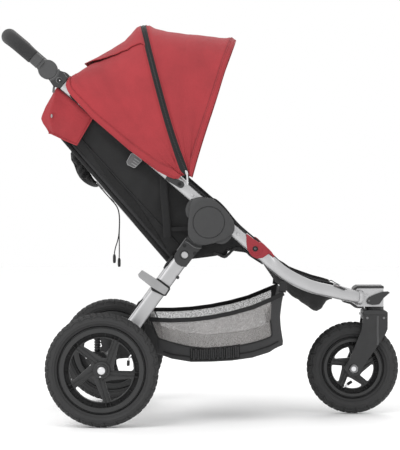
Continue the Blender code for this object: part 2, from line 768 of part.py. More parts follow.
def make_brake_pedal():
    centre = (REAR_AXLE_X, REAR_WHEEL_RADIUS)
    outline = arc(centre, 0.0170, 150.0, -150.0, 12)
    outline += [(-0.3050, 0.1440), (-0.3320, 0.1500), (-0.3345, 0.1560), (-0.3080, 0.1560)]
    pedal = add_piece("brake_pedal", slab(outline, -0.040, 0.040), "red_plastic", "brake_pedal")
    bore = rod((REAR_AXLE_X, 0.0, REAR_WHEEL_RADIUS), [(0.0125, -0.06), (0.0125, 0.06)], 20)
    cut(pedal, bore, "axle_bore")


# Handle

def handle_path(start):
    """U-shaped bar from the right pivot, across behind the seat and back to the left pivot."""
    arm = HANDLE_REACH - HANDLE_BEND
    side_view = [start, arm]
    across = [HANDLE_Y, HANDLE_Y]
    steps = 6
    for step in range(1, steps + 1):
        angle = math.pi / 2.0 * step / steps
        side_view.append(arm + HANDLE_BEND * math.sin(angle))
        across.append(HANDLE_Y - HANDLE_BEND * (1.0 - math.cos(angle)))
    half = [(offset(HANDLE_PIVOT, HANDLE_OUT, reach), y) for reach, y in zip(side_view, across)]
    right = [(x, -y, z) for (x, z), y in half]
    left = [(x, y, z) for (x, z), y in reversed(half)]
    return right + left


def make_handle():
    pivot_angle = math.degrees(TUBE_ANGLE)
    block = [offset(TUBE_FOOT, TUBE_UP, TUBE_LENGTH + GAP, across) for across in (0.0160, -0.0160)]
    block += arc(HANDLE_PIVOT, 0.0255, pivot_angle + 180.0 + 42.0, pivot_angle + 180.0 - 42.0, 6)
    ear = [offset(TUBE_FOOT, TUBE_UP, TUBE_LENGTH + GAP, across) for across in (0.0150, -0.0150)]
    ear += arc(HANDLE_PIVOT, 0.0180, pivot_angle - 90.0, pivot_angle + 90.0, 8)
    for label, side in SIDES.items():
        bracket = add_piece("handle_bracket_" + label, side_slab(ear, side, 0.2278, 0.2340),
                            "dark_plastic", "upper_frame")
        join(bracket, side_slab(block, side, 0.2335, 0.2585), "block")

        knuckle = add_piece("handle_knuckle_" + label,
                            rod((HANDLE_PIVOT[0], 0.0, HANDLE_PIVOT[1]),
                                [(0.0250, side * 0.2345), (0.0250, side * 0.2570), (0.0235, side * 0.2585)], 28),
                            "black_plastic", "handle")
        neck = [offset(HANDLE_PIVOT, HANDLE_OUT, reach) for reach in (0.0150, 0.0490)]
        neck_path = [(x, side * HANDLE_Y, z) for x, z in neck]
        join(knuckle, loft(swept_rings(neck_path, 0.0118, 0.0155, 16)), "neck")

    bar = loft(swept_rings(handle_path(0.0493), BAR_RADIUS, BAR_RADIUS, 12, level=False))
    add_piece("handle_bar", bar, "dark_steel", "handle", crease=60.0)
    grip = hollow_tube(handle_path(0.0515), GRIP_RADIUS, BAR_RADIUS + GAP, 12)
    add_piece("handle_grip", grip, "grip_foam", "handle", crease=60.0)


# Hood

HOOD_ARCHES = (
    (69.0, 0.4130, 2.8), (78.0, 0.4080, 2.8), (88.0, 0.4066, 2.9), (97.0, 0.4180, 3.0), (103.3, 0.4340, 3.0),
    (104.1, 0.4340, 3.0), (110.0, 0.4180, 3.6), (118.0, 0.4090, 5.0), (127.0, 0.4040, 8.0), (135.5, 0.3990, 12.0),
)
HOOD_POINTS = 11
HOOD_LOWEST = 0.034


def arch(angle, height, power, half_width, foot=None):
    """Half-round arch about the hood pivot, as (x, y, z) from right to left."""
    along = direction(math.radians(angle))
    first = math.asin((HOOD_LOWEST / height) ** (power / 2.0))
    halves = [(foot, half_width)] if foot else []
    for step in range(HOOD_POINTS):
        t = first + (math.pi / 2.0 - first) * (step / (HOOD_POINTS - 1)) ** 0.8
        y = half_width * max(math.cos(t), 0.0) ** (2.0 / power) if step < HOOD_POINTS - 1 else 0.0
        halves.append((height * math.sin(t) ** (2.0 / power), y))
    halves = [(*offset(HOOD_PIVOT, along, reach), y) for reach, y in halves]
    right = [(x, -y, z) for x, z, y in halves]
    left = [(x, y, z) for x, z, y in reversed(halves[:-1])]
    return right + left


def hood_panel(name, arches, body, skirt):
    grid = [arch(*station, HOOD_HALF_WIDTH) for station in arches]
    if skirt:
        drop = offset((0.0, 0.0), TUBE_UP, 0.0, 0.0330)
        last = grid[-1]
        hem = []
        for x, y, z in last:
            share = 1.0 if abs(y) > 0.2635 else 0.08
            hem.append((x + drop[0] * share, y, z + drop[1] * share))
        grid.append(hem)
    middle = Vector((HOOD_PIVOT[0], 0.0, HOOD_PIVOT[1]))

    def inward(row, column):
        point = Vector(grid[row][column])
        normal = grid_normals(grid)(row, column)
        return normal if normal.dot(middle - point) > 0.0 else -normal

    add_piece(name, sheet(grid, HOOD_THICKNESS, inward), "red_fabric", body, crease=80.0)


def make_bow(name, angle, height, power, half_width, body):
    """Flat strip bent to the hood's arch."""
    path = [Vector(point) for point in arch(angle, height, power, half_width, foot=0.0165)]
    outwards = direction(math.radians(angle))
    flat = Vector((-outwards[1], 0.0, outwards[0]))
    rings = []
    for index, point in enumerate(path):
        along = (path[min(index + 1, len(path) - 1)] - path[max(index - 1, 0)]).normalized()
        thick = along.cross(flat)
        corners = ((1, 1), (1, -1), (-1, -1), (-1, 1))
        rings.append([point + flat * (0.004 * a) + thick * (0.00125 * b) for a, b in corners])
    add_piece(name, loft(rings), "dark_plastic", body)


def make_hood():
    for label, side in SIDES.items():
        stations = [(0.0140, side * 0.2573), (0.0140, side * 0.2670), (0.0120, side * 0.2685)]
        centre = (HOOD_PIVOT[0], 0.0, HOOD_PIVOT[1])
        mount = rod(centre, stations, 20)
        add_piece("hood_mount_" + label, mount, "dark_plastic", "upper_frame")
    make_bow("hood_front_bow", HOOD_FRONT_ANGLE + 1.2, 0.4062, 2.8, 0.2590, "hood_front")
    make_bow("hood_middle_bow", HOOD_MIDDLE_ANGLE, 0.4290, 3.0, 0.2617, "hood_middle")
    hood_panel("hood_front_panel", HOOD_ARCHES[:5], "hood_front", skirt=False)
    hood_panel("hood_rear_panel", HOOD_ARCHES[5:], "upper_frame", skirt=True)


def make_drape():
    """Rolled-down rear curtain of the hood: two side walls and a back wall."""
    side_view = [
        (-0.3700, 0.8680), (-0.3560, 0.8545), (-0.2916, 0.7932), (-0.3314, 0.7261), (-0.3723, 0.7432),
        (-0.4021, 0.7579), (-0.4114, 0.7701), (-0.4248, 0.7836), (-0.4322, 0.7957), (-0.4309, 0.8052),
        (-0.4222, 0.8240), (-0.4100, 0.8443), (-0.4008, 0.8680),
    ]
    cavity = [
        (-0.3700, 0.7000), (-0.3960, 0.7400), (-0.3985, 0.7605), (-0.4080, 0.7730), (-0.4205, 0.7860),
        (-0.4275, 0.7965), (-0.4265, 0.8045), (-0.4180, 0.8230), (-0.4058, 0.8432), (-0.3960, 0.8700),
        (-0.3900, 0.9100), (-0.2400, 0.8600), (-0.2400, 0.7000),
    ]
    drape = add_piece("back_drape", slab(side_view, -0.2270, 0.2270), "red_fabric", "upper_frame")
    cut(drape, slab(cavity, -0.2235, 0.2235), "inside")


# Seat

def on_back(up, forward):
    """Point in back coordinates: up along its rear face, and forward of it."""
    return offset(BACK_FOOT, BACK_UP, up, -forward)


def make_seat_back():
    """Padded back and the side walls sewn to it, as one U-shaped shell."""
    stations = ((0.000, 0.180, 0.200), (0.090, 0.184, 0.200), (0.150, 0.188, 0.216),
                (0.220, 0.190, 0.222), (0.310, 0.188, 0.222), (0.395, 0.180, 0.222))
    wall = 0.005
    rings = []
    for up, back_half, wall_half in stations:
        tip = 0.2008 - 0.149 * up
        half = [
            (wall_half, tip), (0.5 * (wall_half + back_half), tip * 0.45), (back_half, 0.012),
            (back_half - 0.012, 0.0), (0.090, -0.001),
        ]
        inner = [
            (wall_half - wall, tip), (0.5 * (wall_half + back_half) - wall, tip * 0.45),
            (back_half - wall - 0.004, 0.034), (0.120, 0.0385), (0.060, 0.0410),
        ]
        profile = half + [(0.0, -0.001)] + [(-y, n) for y, n in reversed(half)]
        profile += [(-y, n) for y, n in inner] + [(0.0, 0.0400)] + [(y, n) for y, n in reversed(inner)]
        ring = []
        for y, forward in profile:
            x, z = on_back(up, forward)
            ring.append((x, y, z))
        rings.append(ring)
    add_piece("seat_back", loft(rings), "black_fabric", "seat_back", crease=60.0)


def make_seat_base():
    """Crowned seat cushion with its side walls up to the frame tubes."""
    lower = ((-0.0560, 0.4262), (-0.0224, 0.4325), (0.0361, 0.4400), (0.1070, 0.4400), (0.1500, 0.4300))
    upper = ((0.1560, 0.4440), (0.1180, 0.4660), (0.0450, 0.4760), (-0.0200, 0.4680), (-0.0520, 0.4500))
    stations = ((-0.1960, 0.35), (-0.1850, 0.75), (-0.1200, 0.97), (0.0, 1.0),
                (0.1200, 0.97), (0.1850, 0.75), (0.1960, 0.35))
    rings = []
    for y, crown in stations:
        ring = [(x, y, z) for x, z in lower]
        for (x, z), (_, base) in zip(upper, reversed(lower)):
            ring.append((x, y, base + (z - base) * crown))
        rings.append(ring)
    seat = add_piece("seat_base", loft(rings), "black_fabric", "front_frame", crease=60.0)
    wall = [(-0.0500, 0.4340), (0.1520, 0.4320), (0.1570, 0.4660), (0.0650, 0.5560), (0.0560, 0.5475),
            (-0.0500, 0.4560)]
    for label, side in SIDES.items():
        join(seat, side_slab(wall, side, 0.1950, 0.2000), "wall_" + label)


def make_footrest():
    """Sling between the front tubes that carries the child's feet."""
    stations = (
        (0.1700, 0.4240, 0.4150, 0.2240), (0.2135, 0.3880, 0.3420, 0.1980), (0.2593, 0.3655, 0.3110, 0.1570),
        (0.2982, 0.3500, 0.2840, 0.1225), (0.3257, 0.3420, 0.3060, 0.0980), (0.3450, 0.3370, 0.3230, 0.0810),
    )
    share = ((1.0, 0.0), (0.97, 0.45), (0.88, 0.85), (0.60, 1.0), (0.0, 1.0))
    grid = []
    for x, tube_z, floor_z, half in stations:
        right = [(x, -half * y, tube_z + (floor_z - tube_z) * drop) for y, drop in share]
        left = [(x, half * y, tube_z + (floor_z - tube_z) * drop) for y, drop in reversed(share[:-1])]
        grid.append(right + left)
    up = Vector((0.0, 0.0, 1.0))
    middle = Vector((0.26, 0.0, 0.42))

    def inward(row, column):
        return (up + (middle - Vector(grid[row][column])).normalized()).normalized()

    add_piece("footrest_sling", sheet(grid, 0.004, inward), "black_fabric", "front_frame", crease=60.0)


BASKET_STATIONS = (
    (-0.1430, -0.1142, 0.2737, 0.1830, 0.188), (-0.0871, -0.0850, 0.2724, 0.1690, 0.205),
    (-0.0338, -0.0338, 0.2750, 0.1595, 0.215), (0.0195, 0.0195, 0.2818, 0.1605, 0.218),
    (0.0728, 0.0728, 0.2925, 0.1635, 0.218), (0.1261, 0.1261, 0.3071, 0.1710, 0.214),
    (0.1742, 0.1720, 0.3273, 0.1830, 0.205), (0.2040, 0.2050, 0.3420, 0.2000, 0.190),
)


def basket_ring(rim_x, floor_x, rim_z, floor_z, half):
    """Section of the basket: two leaning walls and a rounded floor."""
    side = ((half, 0.0), (half * 0.985, 0.45), (half * 0.95, 0.86), (half * 0.88, 0.98), (half * 0.45, 1.0))
    right = [
        (rim_x + (floor_x - rim_x) * drop, -y, rim_z + (floor_z - rim_z) * drop) for y, drop in side
    ]
    left = [(x, -y, z) for x, y, z in reversed(right)]
    return right + left


def make_basket():
    outer = [basket_ring(*station) for station in BASKET_STATIONS]
    basket = add_piece("basket", loft(outer), "mesh_fabric", "front_frame", crease=60.0)
    wall = 0.004
    rings = []
    last = len(BASKET_STATIONS) - 1
    for index, (rim_x, floor_x, rim_z, floor_z, half) in enumerate(BASKET_STATIONS):
        shift = wall if index == 0 else -wall if index == last else 0.0
        above = 0.020
        slope = (floor_x - rim_x) / (rim_z - floor_z)
        rings.append(basket_ring(rim_x + shift - slope * above, floor_x + shift, rim_z + above,
                                 floor_z + wall, half - wall))
    cut(basket, loft(rings), "inside")


# Recline strap with its two pull cords

STRAP_ROUTE = (
    (-0.3560, 0.7195), (-0.3610, 0.7080), (-0.3596, 0.6906), (-0.3490, 0.6740), (-0.3370, 0.6480),
    (-0.3230, 0.6390), (-0.2950, 0.6270), (-0.2834, 0.6171), (-0.2630, 0.5940), (-0.2440, 0.5727),
)
CORD_RADIUS = 0.0015
CORD_START = (-0.2433, 0.5718)
CORD_ROUTES = {
    "right": ((-0.2395, 0.5670, -0.0035), (-0.2340, 0.5560, -0.0035), (-0.2310, 0.5400, -0.0035),
              (-0.2303, 0.5218, -0.0035), (-0.2310, 0.5040, -0.0037), (-0.2322, 0.4869, -0.0042),
              (-0.2355, 0.4700, -0.0060), (-0.2398, 0.4564, -0.0080), (-0.2428, 0.4440, -0.0095),
              (-0.2439, 0.4346, -0.0100)),
    "left": ((-0.2395, 0.5670, 0.0035), (-0.2340, 0.5560, 0.0035), (-0.2310, 0.5400, 0.0035),
             (-0.2303, 0.5218, 0.0035), (-0.2308, 0.5040, 0.0035), (-0.2314, 0.4869, 0.0037),
             (-0.2312, 0.4700, 0.0042), (-0.2311, 0.4537, 0.0048), (-0.2312, 0.4380, 0.0055),
             (-0.2316, 0.4237, 0.0060)),
}
CORD_TIP_LENGTH = 0.024


def make_recline_strap():
    rings = []
    across = Vector((0.0, 1.0, 0.0))
    route = [Vector((x, 0.0, z)) for x, z in STRAP_ROUTE]
    for index, point in enumerate(route):
        along = (route[min(index + 1, len(route) - 1)] - route[max(index - 1, 0)]).normalized()
        thick = along.cross(across)
        half = 0.0125 if index < 7 else 0.0075
        corners = ((1, 1), (1, -1), (-1, -1), (-1, 1))
        rings.append([point + across * (half * a) + thick * (0.00125 * b) for a, b in corners])
    add_piece("recline_strap", loft(rings), "webbing", "seat_back", crease=60.0)

    for label, route in CORD_ROUTES.items():
        start = (CORD_START[0], CORD_START[1], route[0][2])
        points = smooth_path([(x, y, z) for x, z, y in [start] + list(route)], 3)
        add_wire("recline_cord_" + label, points, CORD_RADIUS, 2, "webbing", "seat_back")
        end = points[-1]
        top = (end.x, end.y, end.z - GAP)
        stations = [(0.0026, 0.0), (0.0042, -0.006), (0.0042, -0.019), (0.0030, -CORD_TIP_LENGTH)]
        add_piece("cord_end_" + label, rod(top, stations, 10, axis="Z"), "dark_plastic", "seat_back")


clear_scene()
MATERIALS = make_materials()
EMPTIES = make_empties()
make_wheels()
make_fork()
make_housing()
make_front_tubes()
make_hubs()
make_upper_tubes()
make_legs()
make_latch()
make_suspension()
make_brake_pedal()
make_handle()
make_hood()
make_drape()
make_seat_back()
make_seat_base()
make_footrest()
make_basket()
make_recline_strap()
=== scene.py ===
"""Looks of the three-wheel stroller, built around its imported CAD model.

Metres, in the CAD model's frame: X forwards, Y to the rider's left, Z up. The right side, at -Y,
faces the camera.
"""

import json
import math

import bmesh
import bpy
import numpy as np
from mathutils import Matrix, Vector, noise

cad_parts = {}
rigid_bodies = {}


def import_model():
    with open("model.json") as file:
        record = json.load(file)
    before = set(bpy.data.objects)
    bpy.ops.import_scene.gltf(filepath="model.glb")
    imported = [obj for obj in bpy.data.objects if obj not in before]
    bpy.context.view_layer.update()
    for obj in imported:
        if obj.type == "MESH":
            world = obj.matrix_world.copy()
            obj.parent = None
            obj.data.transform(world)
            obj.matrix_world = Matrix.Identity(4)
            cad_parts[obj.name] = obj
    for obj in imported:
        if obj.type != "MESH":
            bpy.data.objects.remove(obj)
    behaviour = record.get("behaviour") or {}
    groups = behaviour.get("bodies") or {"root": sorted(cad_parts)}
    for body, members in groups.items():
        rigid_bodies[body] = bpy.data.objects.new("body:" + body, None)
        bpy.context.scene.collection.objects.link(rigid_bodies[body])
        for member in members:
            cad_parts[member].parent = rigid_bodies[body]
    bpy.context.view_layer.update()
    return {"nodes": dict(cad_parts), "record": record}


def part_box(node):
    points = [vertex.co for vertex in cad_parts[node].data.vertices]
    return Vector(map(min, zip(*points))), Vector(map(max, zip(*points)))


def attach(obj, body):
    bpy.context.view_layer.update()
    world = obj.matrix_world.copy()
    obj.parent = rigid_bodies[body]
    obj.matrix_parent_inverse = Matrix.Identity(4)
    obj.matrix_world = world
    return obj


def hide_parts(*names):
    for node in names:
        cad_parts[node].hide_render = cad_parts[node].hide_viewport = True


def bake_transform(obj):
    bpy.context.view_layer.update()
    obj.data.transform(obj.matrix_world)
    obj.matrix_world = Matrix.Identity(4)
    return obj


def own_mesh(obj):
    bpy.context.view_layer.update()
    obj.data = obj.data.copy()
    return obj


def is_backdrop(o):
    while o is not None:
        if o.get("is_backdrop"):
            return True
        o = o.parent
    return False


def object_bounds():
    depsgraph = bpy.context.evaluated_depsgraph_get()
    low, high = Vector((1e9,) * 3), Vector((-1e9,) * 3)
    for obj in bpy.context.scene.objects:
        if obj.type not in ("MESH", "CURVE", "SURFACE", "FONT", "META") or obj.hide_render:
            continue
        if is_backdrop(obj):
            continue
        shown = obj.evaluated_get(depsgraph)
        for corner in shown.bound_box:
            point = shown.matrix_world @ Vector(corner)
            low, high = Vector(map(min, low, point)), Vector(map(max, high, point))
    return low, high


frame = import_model()

SIDES = {"right": -1.0, "left": 1.0}
UP = Vector((0.0, 0.0, 1.0))


def direction(degrees):
    angle = math.radians(degrees)
    return math.cos(angle), math.sin(angle)


def offset(start, along, distance, across=0.0):
    """Point in the side plane: a distance along a direction, and to the left of it by across."""
    return (start[0] + along[0] * distance - along[1] * across,
        start[1] + along[1] * distance + along[0] * across)


def polar(degrees, reach):
    return offset((0.0, 0.0), direction(degrees), reach)


def linked(name, data):
    """New object in the scene."""
    made = bpy.data.objects.new(name, data)
    bpy.context.scene.collection.objects.link(made)
    return made


def between(at, places, values):
    return float(np.interp(at, places, values))


def as_array(grid):
    return np.array([[tuple(point) for point in row] for row in grid])


# The CAD model's own driving places
HUB = (0.0114, 0.5263)
TUBE_UP = direction(139.2)
TUBE_FOOT = offset(HUB, TUBE_UP, 0.0, -0.027)
TUBE_Y = 0.246
LEG_DOWN = direction(234.0)
LEG_Y = 0.216
HANDLE_OUT = direction(139.8)
HANDLE_PIVOT = offset(TUBE_FOOT, TUBE_UP, 0.572)
BACK_FOOT = (-0.0947, 0.4240)
BACK_UP = direction(130.7)
HOOD = (-0.0611, 0.6302)
REAR_AXLE = (-0.2635, 0.1475)
FRONT_AXLE = (0.4045, 0.1255)


def on_leg(down, behind):
    return offset(HUB, LEG_DOWN, down, -behind)


def on_back(up, forward):
    return offset(BACK_FOOT, BACK_UP, up, -forward)


def placed(spot, y):
    """A point of the side plane, given as (x, z), at a distance across the object."""
    return Vector((spot[0], y, spot[1]))


# Materials

class Surface:
    """A procedural material, with a short way to add nodes to it."""

    def __init__(self, name, colour, roughness, metallic=0.0, slot=None, **extra):
        self.slot = slot or name
        self.material = bpy.data.materials.new(name)
        self.material.use_nodes = True
        self.tree = self.material.node_tree
        self.shader = self.tree.nodes["Principled BSDF"]
        self.put(self.shader, Base_Color=(*colour, 1.0), Roughness=roughness, Metallic=metallic, **extra)
        self.colour = colour
        self.normal = None
        self.place = self.add("TexCoord").outputs["Object"]

    def add(self, kind, settings=None, **inputs):
        node = self.tree.nodes.new("ShaderNode" + kind)
        for key, value in (settings or {}).items():
            setattr(node, key, value)
        self.put(node, **inputs)
        return node

    def put(self, node, **inputs):
        for key, value in inputs.items():
            socket = node.inputs[int(key[1:]) if key[1:].isdigit() else key.replace("_", " ")]
            if isinstance(value, bpy.types.NodeSocket):
                self.tree.links.new(value, socket)
            else:
                socket.default_value = value

    def vector(self, operation, first, second=None):
        inputs = {"i0": first} if second is None else {"i0": first, "i1": second}
        return self.add("VectorMath", {"operation": operation}, **inputs).outputs[0]

    def noise(self, scale, detail=3.0, roughness=0.5, stretch=None):
        place = self.place
        if stretch:
            place = self.vector("MULTIPLY", place, stretch)
        node = self.add("TexNoise", Vector=place, Scale=scale, Detail=detail, Roughness=roughness)
        return node.outputs["Fac"]

    def weave(self, pitch):
        """Threads in every direction of the object's own axes."""
        k = math.pi / pitch
        scaled = self.vector("MULTIPLY", self.place, (k, k, k))
        waves = self.vector("SINE", scaled)
        size = self.vector("ABSOLUTE", waves)
        return self.add("VectorMath", {"operation": "DOT_PRODUCT"}, i0=size, i1=(1.0, 1.0, 1.0)).outputs[1]

    def ramp(self, value, low, high, to_low=0.0, to_high=1.0):
        node = self.add("MapRange", None, Value=value)
        self.put(node, From_Min=low, From_Max=high, To_Min=to_low, To_Max=to_high)
        return node.outputs[0]

    def mix(self, factor, first, second):
        return self.add("Mix", {"data_type": "RGBA"}, i0=factor, i6=first, i7=second).outputs[2]

    def vary(self, factor, darker, lighter):
        """Base colour between a darker and a lighter share of the material's own."""
        low = (*[c * darker for c in self.colour], 1.0)
        high = (*[min(c * lighter, 1.0) for c in self.colour], 1.0)
        self.put(self.shader, Base_Color=self.mix(factor, low, high))
        return self

    def shine(self, factor, low, high):
        self.put(self.shader, Roughness=self.ramp(factor, 0.3, 0.7, low, high))
        return self

    def bump(self, height, strength, distance):
        node = self.add("Bump", None, Height=height, Strength=strength, Distance=distance)
        if self.normal:
            self.put(node, Normal=self.normal)
        self.normal = node.outputs["Normal"]
        self.put(self.shader, Normal=self.normal)
        return self


def cloth(name, colour, pitch, fold, sheen, slot=None, roughness=0.85):
    made = Surface(name, colour, roughness, slot=slot, Sheen_Weight=sheen, Sheen_Roughness=0.45)
    threads = made.weave(pitch)
    patches = made.noise(9.0, 4.0, 0.6)
    slubs = made.noise(420.0, 2.0, 0.6)
    both = made.add("Math", {"operation": "MULTIPLY_ADD"}, i0=slubs, i1=0.55, i2=patches).outputs[0]
    made.vary(made.ramp(both, 0.45, 1.10), 0.80, 1.20)
    made.bump(made.noise(16.0, 2.5, 0.45), 0.5, fold)
    made.bump(threads, 0.35, pitch * 0.35)
    return made


def moulded(name, colour, roughness, slot=None, grain=1400.0):
    made = Surface(name, colour, roughness, slot=slot)
    speck = made.noise(grain, 2.0, 0.6)
    made.vary(made.noise(35.0, 4.0, 0.6), 0.86, 1.14)
    made.shine(made.noise(60.0, 3.0), roughness - 0.07, roughness + 0.09)
    made.bump(speck, 0.30, 0.00018)
    return made


def metal(name, colour, roughness, slot=None, metallic=1.0, stretch=(1.0, 1.0, 1.0)):
    made = Surface(name, colour, roughness, metallic, slot=slot)
    brushed = made.noise(900.0, 3.0, 0.6, stretch)
    made.vary(made.noise(14.0, 4.0, 0.6), 0.94, 1.06)
    made.shine(brushed, roughness - 0.05, roughness + 0.07)
    made.bump(brushed, 0.08, 0.0001)
    return made


red_cloth = cloth("red_cloth", (0.300, 0.0235, 0.0300), 0.00085, 0.0011, 0.045, "red_fabric")
# Darker red used only for the painted shadow line under the hood's front hem seam.
shadow_red_cloth = cloth("shadow_red_cloth", (0.200, 0.0190, 0.0240), 0.00085, 0.0011, 0.05, "red_fabric")
black_cloth = cloth("black_cloth", (0.0070, 0.0070, 0.0074), 0.0010, 0.0024, 0.06, "black_fabric")
# Near-white sheet inside the basket's side walls: painted light for the bright backdrop seen through the netting,
# made lighter against the shade inside the basket.
netting_backdrop_light = cloth("netting_backdrop_light", (0.880, 0.862, 0.850), 0.0012, 0.0012, 0.1, "mesh_fabric")
# Near-black cloth for the basket's seam line; also painted shade in the seat side's recess and between the basket's
# elastic ribs.
seam_and_shade_black = cloth("seam_and_shade_black", (0.0014, 0.0014, 0.0016), 0.0010, 0.0010, 0.02, "black_fabric")
basket_cloth = cloth("basket_cloth_look", (0.0265, 0.0265, 0.0275), 0.0010, 0.0014, 0.12, "black_fabric")
pad_cloth = cloth("pad_cloth", (0.0150, 0.0150, 0.0160), 0.0016, 0.0012, 0.15, "black_fabric")
band_cloth = cloth("band_cloth", (0.0060, 0.0060, 0.0065), 0.0016, 0.0005, 0.05, "webbing")
webbing = cloth("webbing", (0.0120, 0.0120, 0.0125), 0.0021, 0.0004, 0.10, "webbing", 0.70)
thread_red = cloth("thread_red", (0.170, 0.0140, 0.0190), 0.0004, 0.0001, 0.05, "red_fabric")

mesh_cloth = Surface("mesh_cloth", (0.200, 0.191, 0.186), 0.80, slot="mesh_fabric", Sheen_Weight=0.1)
cells = mesh_cloth.add("TexVoronoi", {"feature": "DISTANCE_TO_EDGE"}, Vector=mesh_cloth.place, Scale=420.0)
mesh_cloth.put(mesh_cloth.shader, Alpha=mesh_cloth.ramp(cells.outputs["Distance"], 0.08, 0.22, 0.86, 0.34))
mesh_cloth.vary(mesh_cloth.noise(22.0, 4.0, 0.6, (1.6, 1.6, 0.4)), 0.65, 1.45)
mesh_cloth.bump(mesh_cloth.noise(14.0, 2.0), 0.5, 0.0015)

silver = metal("silver", (0.455, 0.455, 0.460), 0.33, "silver_tube", 0.82)
leg_metal = metal("leg_metal", (0.430, 0.430, 0.436), 0.42, "silver_tube", 0.82)
casting = metal("casting", (0.460, 0.460, 0.465), 0.42, "silver_casting", 0.78)
bolt_metal = metal("bolt_metal", (0.200, 0.200, 0.204), 0.34, "bright_steel")
chrome = metal("chrome", (0.66, 0.66, 0.67), 0.18, "bright_steel")
dark_steel = metal("dark_steel_look", (0.090, 0.090, 0.094), 0.36, "dark_steel", 0.8)
black_shell = moulded("black_shell", (0.0470, 0.0475, 0.0485), 0.50, "black_plastic")
hub_shell = moulded("hub_shell", (0.0270, 0.0272, 0.0280), 0.52, "black_plastic")
fork_shell = moulded("fork_shell", (0.0135, 0.0137, 0.0142), 0.52, "black_plastic")
dark_shell = moulded("dark_shell", (0.0170, 0.0172, 0.0180), 0.48, "dark_plastic")
grey_shell = moulded("grey_shell", (0.265, 0.265, 0.268), 0.42, "grey_plastic")
mid_shell = moulded("mid_shell", (0.110, 0.110, 0.112), 0.42, "grey_plastic")
red_shell = moulded("red_shell", (0.235, 0.0065, 0.0145), 0.52, "red_plastic")
wheel_shell = moulded("wheel_shell", (0.0165, 0.0168, 0.0172), 0.44, "wheel_plastic")
# Near-black plastic for valve caps, screw sockets and the leg cable; also painted shade in the rim wells and in the
# gaps and rings round parts.
black_and_shade_shell = moulded("black_and_shade_shell", (0.0035, 0.0035, 0.0040), 0.70, "wheel_plastic")

tyre_rubber = Surface("tyre_look", (0.0185, 0.0185, 0.0190), 0.64, slot="tyre_rubber")
dust = tyre_rubber.noise(26.0, 6.0, 0.65)
tyre_rubber.vary(tyre_rubber.ramp(dust, 0.30, 0.72), 0.80, 1.28)
tyre_rubber.shine(dust, 0.60, 0.84)
tyre_rubber.bump(tyre_rubber.noise(700.0, 3.0, 0.6), 0.35, 0.00025)

foam = Surface("foam", (0.0170, 0.0172, 0.0178), 0.88, slot="grip_foam", Sheen_Weight=0.10)
pores = foam.add("TexVoronoi", {"feature": "F1"}, Vector=foam.place, Scale=900.0).outputs["Distance"]
foam.vary(foam.noise(60.0, 4.0, 0.6), 0.85, 1.18)
foam.bump(pores, 0.55, 0.00035)
foam.bump(foam.noise(70.0, 3.0), 0.3, 0.0004)

LOOKS = {"silver_tube": silver, "silver_casting": casting, "black_plastic": black_shell,
    "dark_plastic": dark_shell, "grey_plastic": grey_shell, "red_plastic": red_shell,
    "wheel_plastic": wheel_shell, "tyre_rubber": tyre_rubber, "grip_foam": foam, "red_fabric": red_cloth,
    "black_fabric": black_cloth, "mesh_fabric": mesh_cloth, "webbing": webbing, "bright_steel": chrome,
    "dark_steel": dark_steel}
OWN_LOOKS = {"front_fork": fork_shell, "handle_bracket_right": fork_shell, "handle_bracket_left": fork_shell,
    "leg_button_right": leg_metal, "leg_button_left": leg_metal}
for subpart in frame["record"]["subparts"]:
    materials = frame["nodes"][subpart["node"]].data.materials
    materials.clear()
    materials.append(OWN_LOOKS.get(subpart["node"], LOOKS[subpart["material_slot"]]).material)


# Meshes

class Mesh:
    """Points and faces gathered for one piece."""

    def __init__(self):
        self.points = []
        self.faces = []

    def skin(self, rings, closed=False, caps=True, loop=True):
        """Equal rings of points, joined one after another."""
        base = len(self.points)
        count = len(rings[0])
        for ring in rings:
            self.points.extend(tuple(point) for point in ring)
        spans = len(rings) if closed else len(rings) - 1
        for r in range(spans):
            first, second = base + r * count, base + ((r + 1) % len(rings)) * count
            for c in range(count if loop else count - 1):
                d = (c + 1) % count
                self.faces.append((first + c, first + d, second + d, second + c))
        if caps and loop and not closed:
            last = base + (len(rings) - 1) * count
            self.faces.append(tuple(range(base, base + count)))
            self.faces.append(tuple(range(last + count - 1, last - 1, -1)))
        return self

    def lathe(self, profile, centre, segments, closed=False, axis="Y"):
        """Profile of (radius, distance along the axis) turned about an axis through centre."""
        rings = []
        for radius, along in profile:
            ring = []
            for step in range(segments):
                c, s = direction(360.0 * step / segments - 90.0)
                local = (radius * c, along, radius * s) if axis == "Y" else (radius * c, radius * s, along)
                ring.append([a + b for a, b in zip(centre, local)])
            rings.append(ring)
        return self.skin(rings, closed=closed)

    def sweep(self, path, half_across, half_up, sides=24, power=2.0, level=False, taper=None):
        return self.skin(sections(path, half_across, half_up, sides, power, level, taper))

    def make(self, name, surface, body, crease=40.0):
        mesh = bpy.data.meshes.new(name)
        mesh.from_pydata(self.points, [], self.faces)
        mesh.materials.append(surface.material)
        work = bmesh.new()
        work.from_mesh(mesh)
        bmesh.ops.recalc_face_normals(work, faces=work.faces)
        work.to_mesh(mesh)
        work.free()
        mesh.shade_smooth()
        mesh.set_sharp_from_angle(angle=math.radians(crease))
        piece = linked(name, mesh)
        if body:
            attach(piece, body)
        return piece


def tube(name, path, half_across, half_up, sides, surface, body, crease=40.0, **shape):
    return Mesh().sweep(path, half_across, half_up, sides, **shape).make(name, surface, body, crease)


def turned(name, profile, side, centre, segments, surface, body, closed=False):
    """Piece turned about a crosswise axis, from a profile of (radius, distance outwards)."""
    made = Mesh().lathe([(radius, side * out) for radius, out in profile], centre, segments, closed)
    return made.make(name, surface, body)


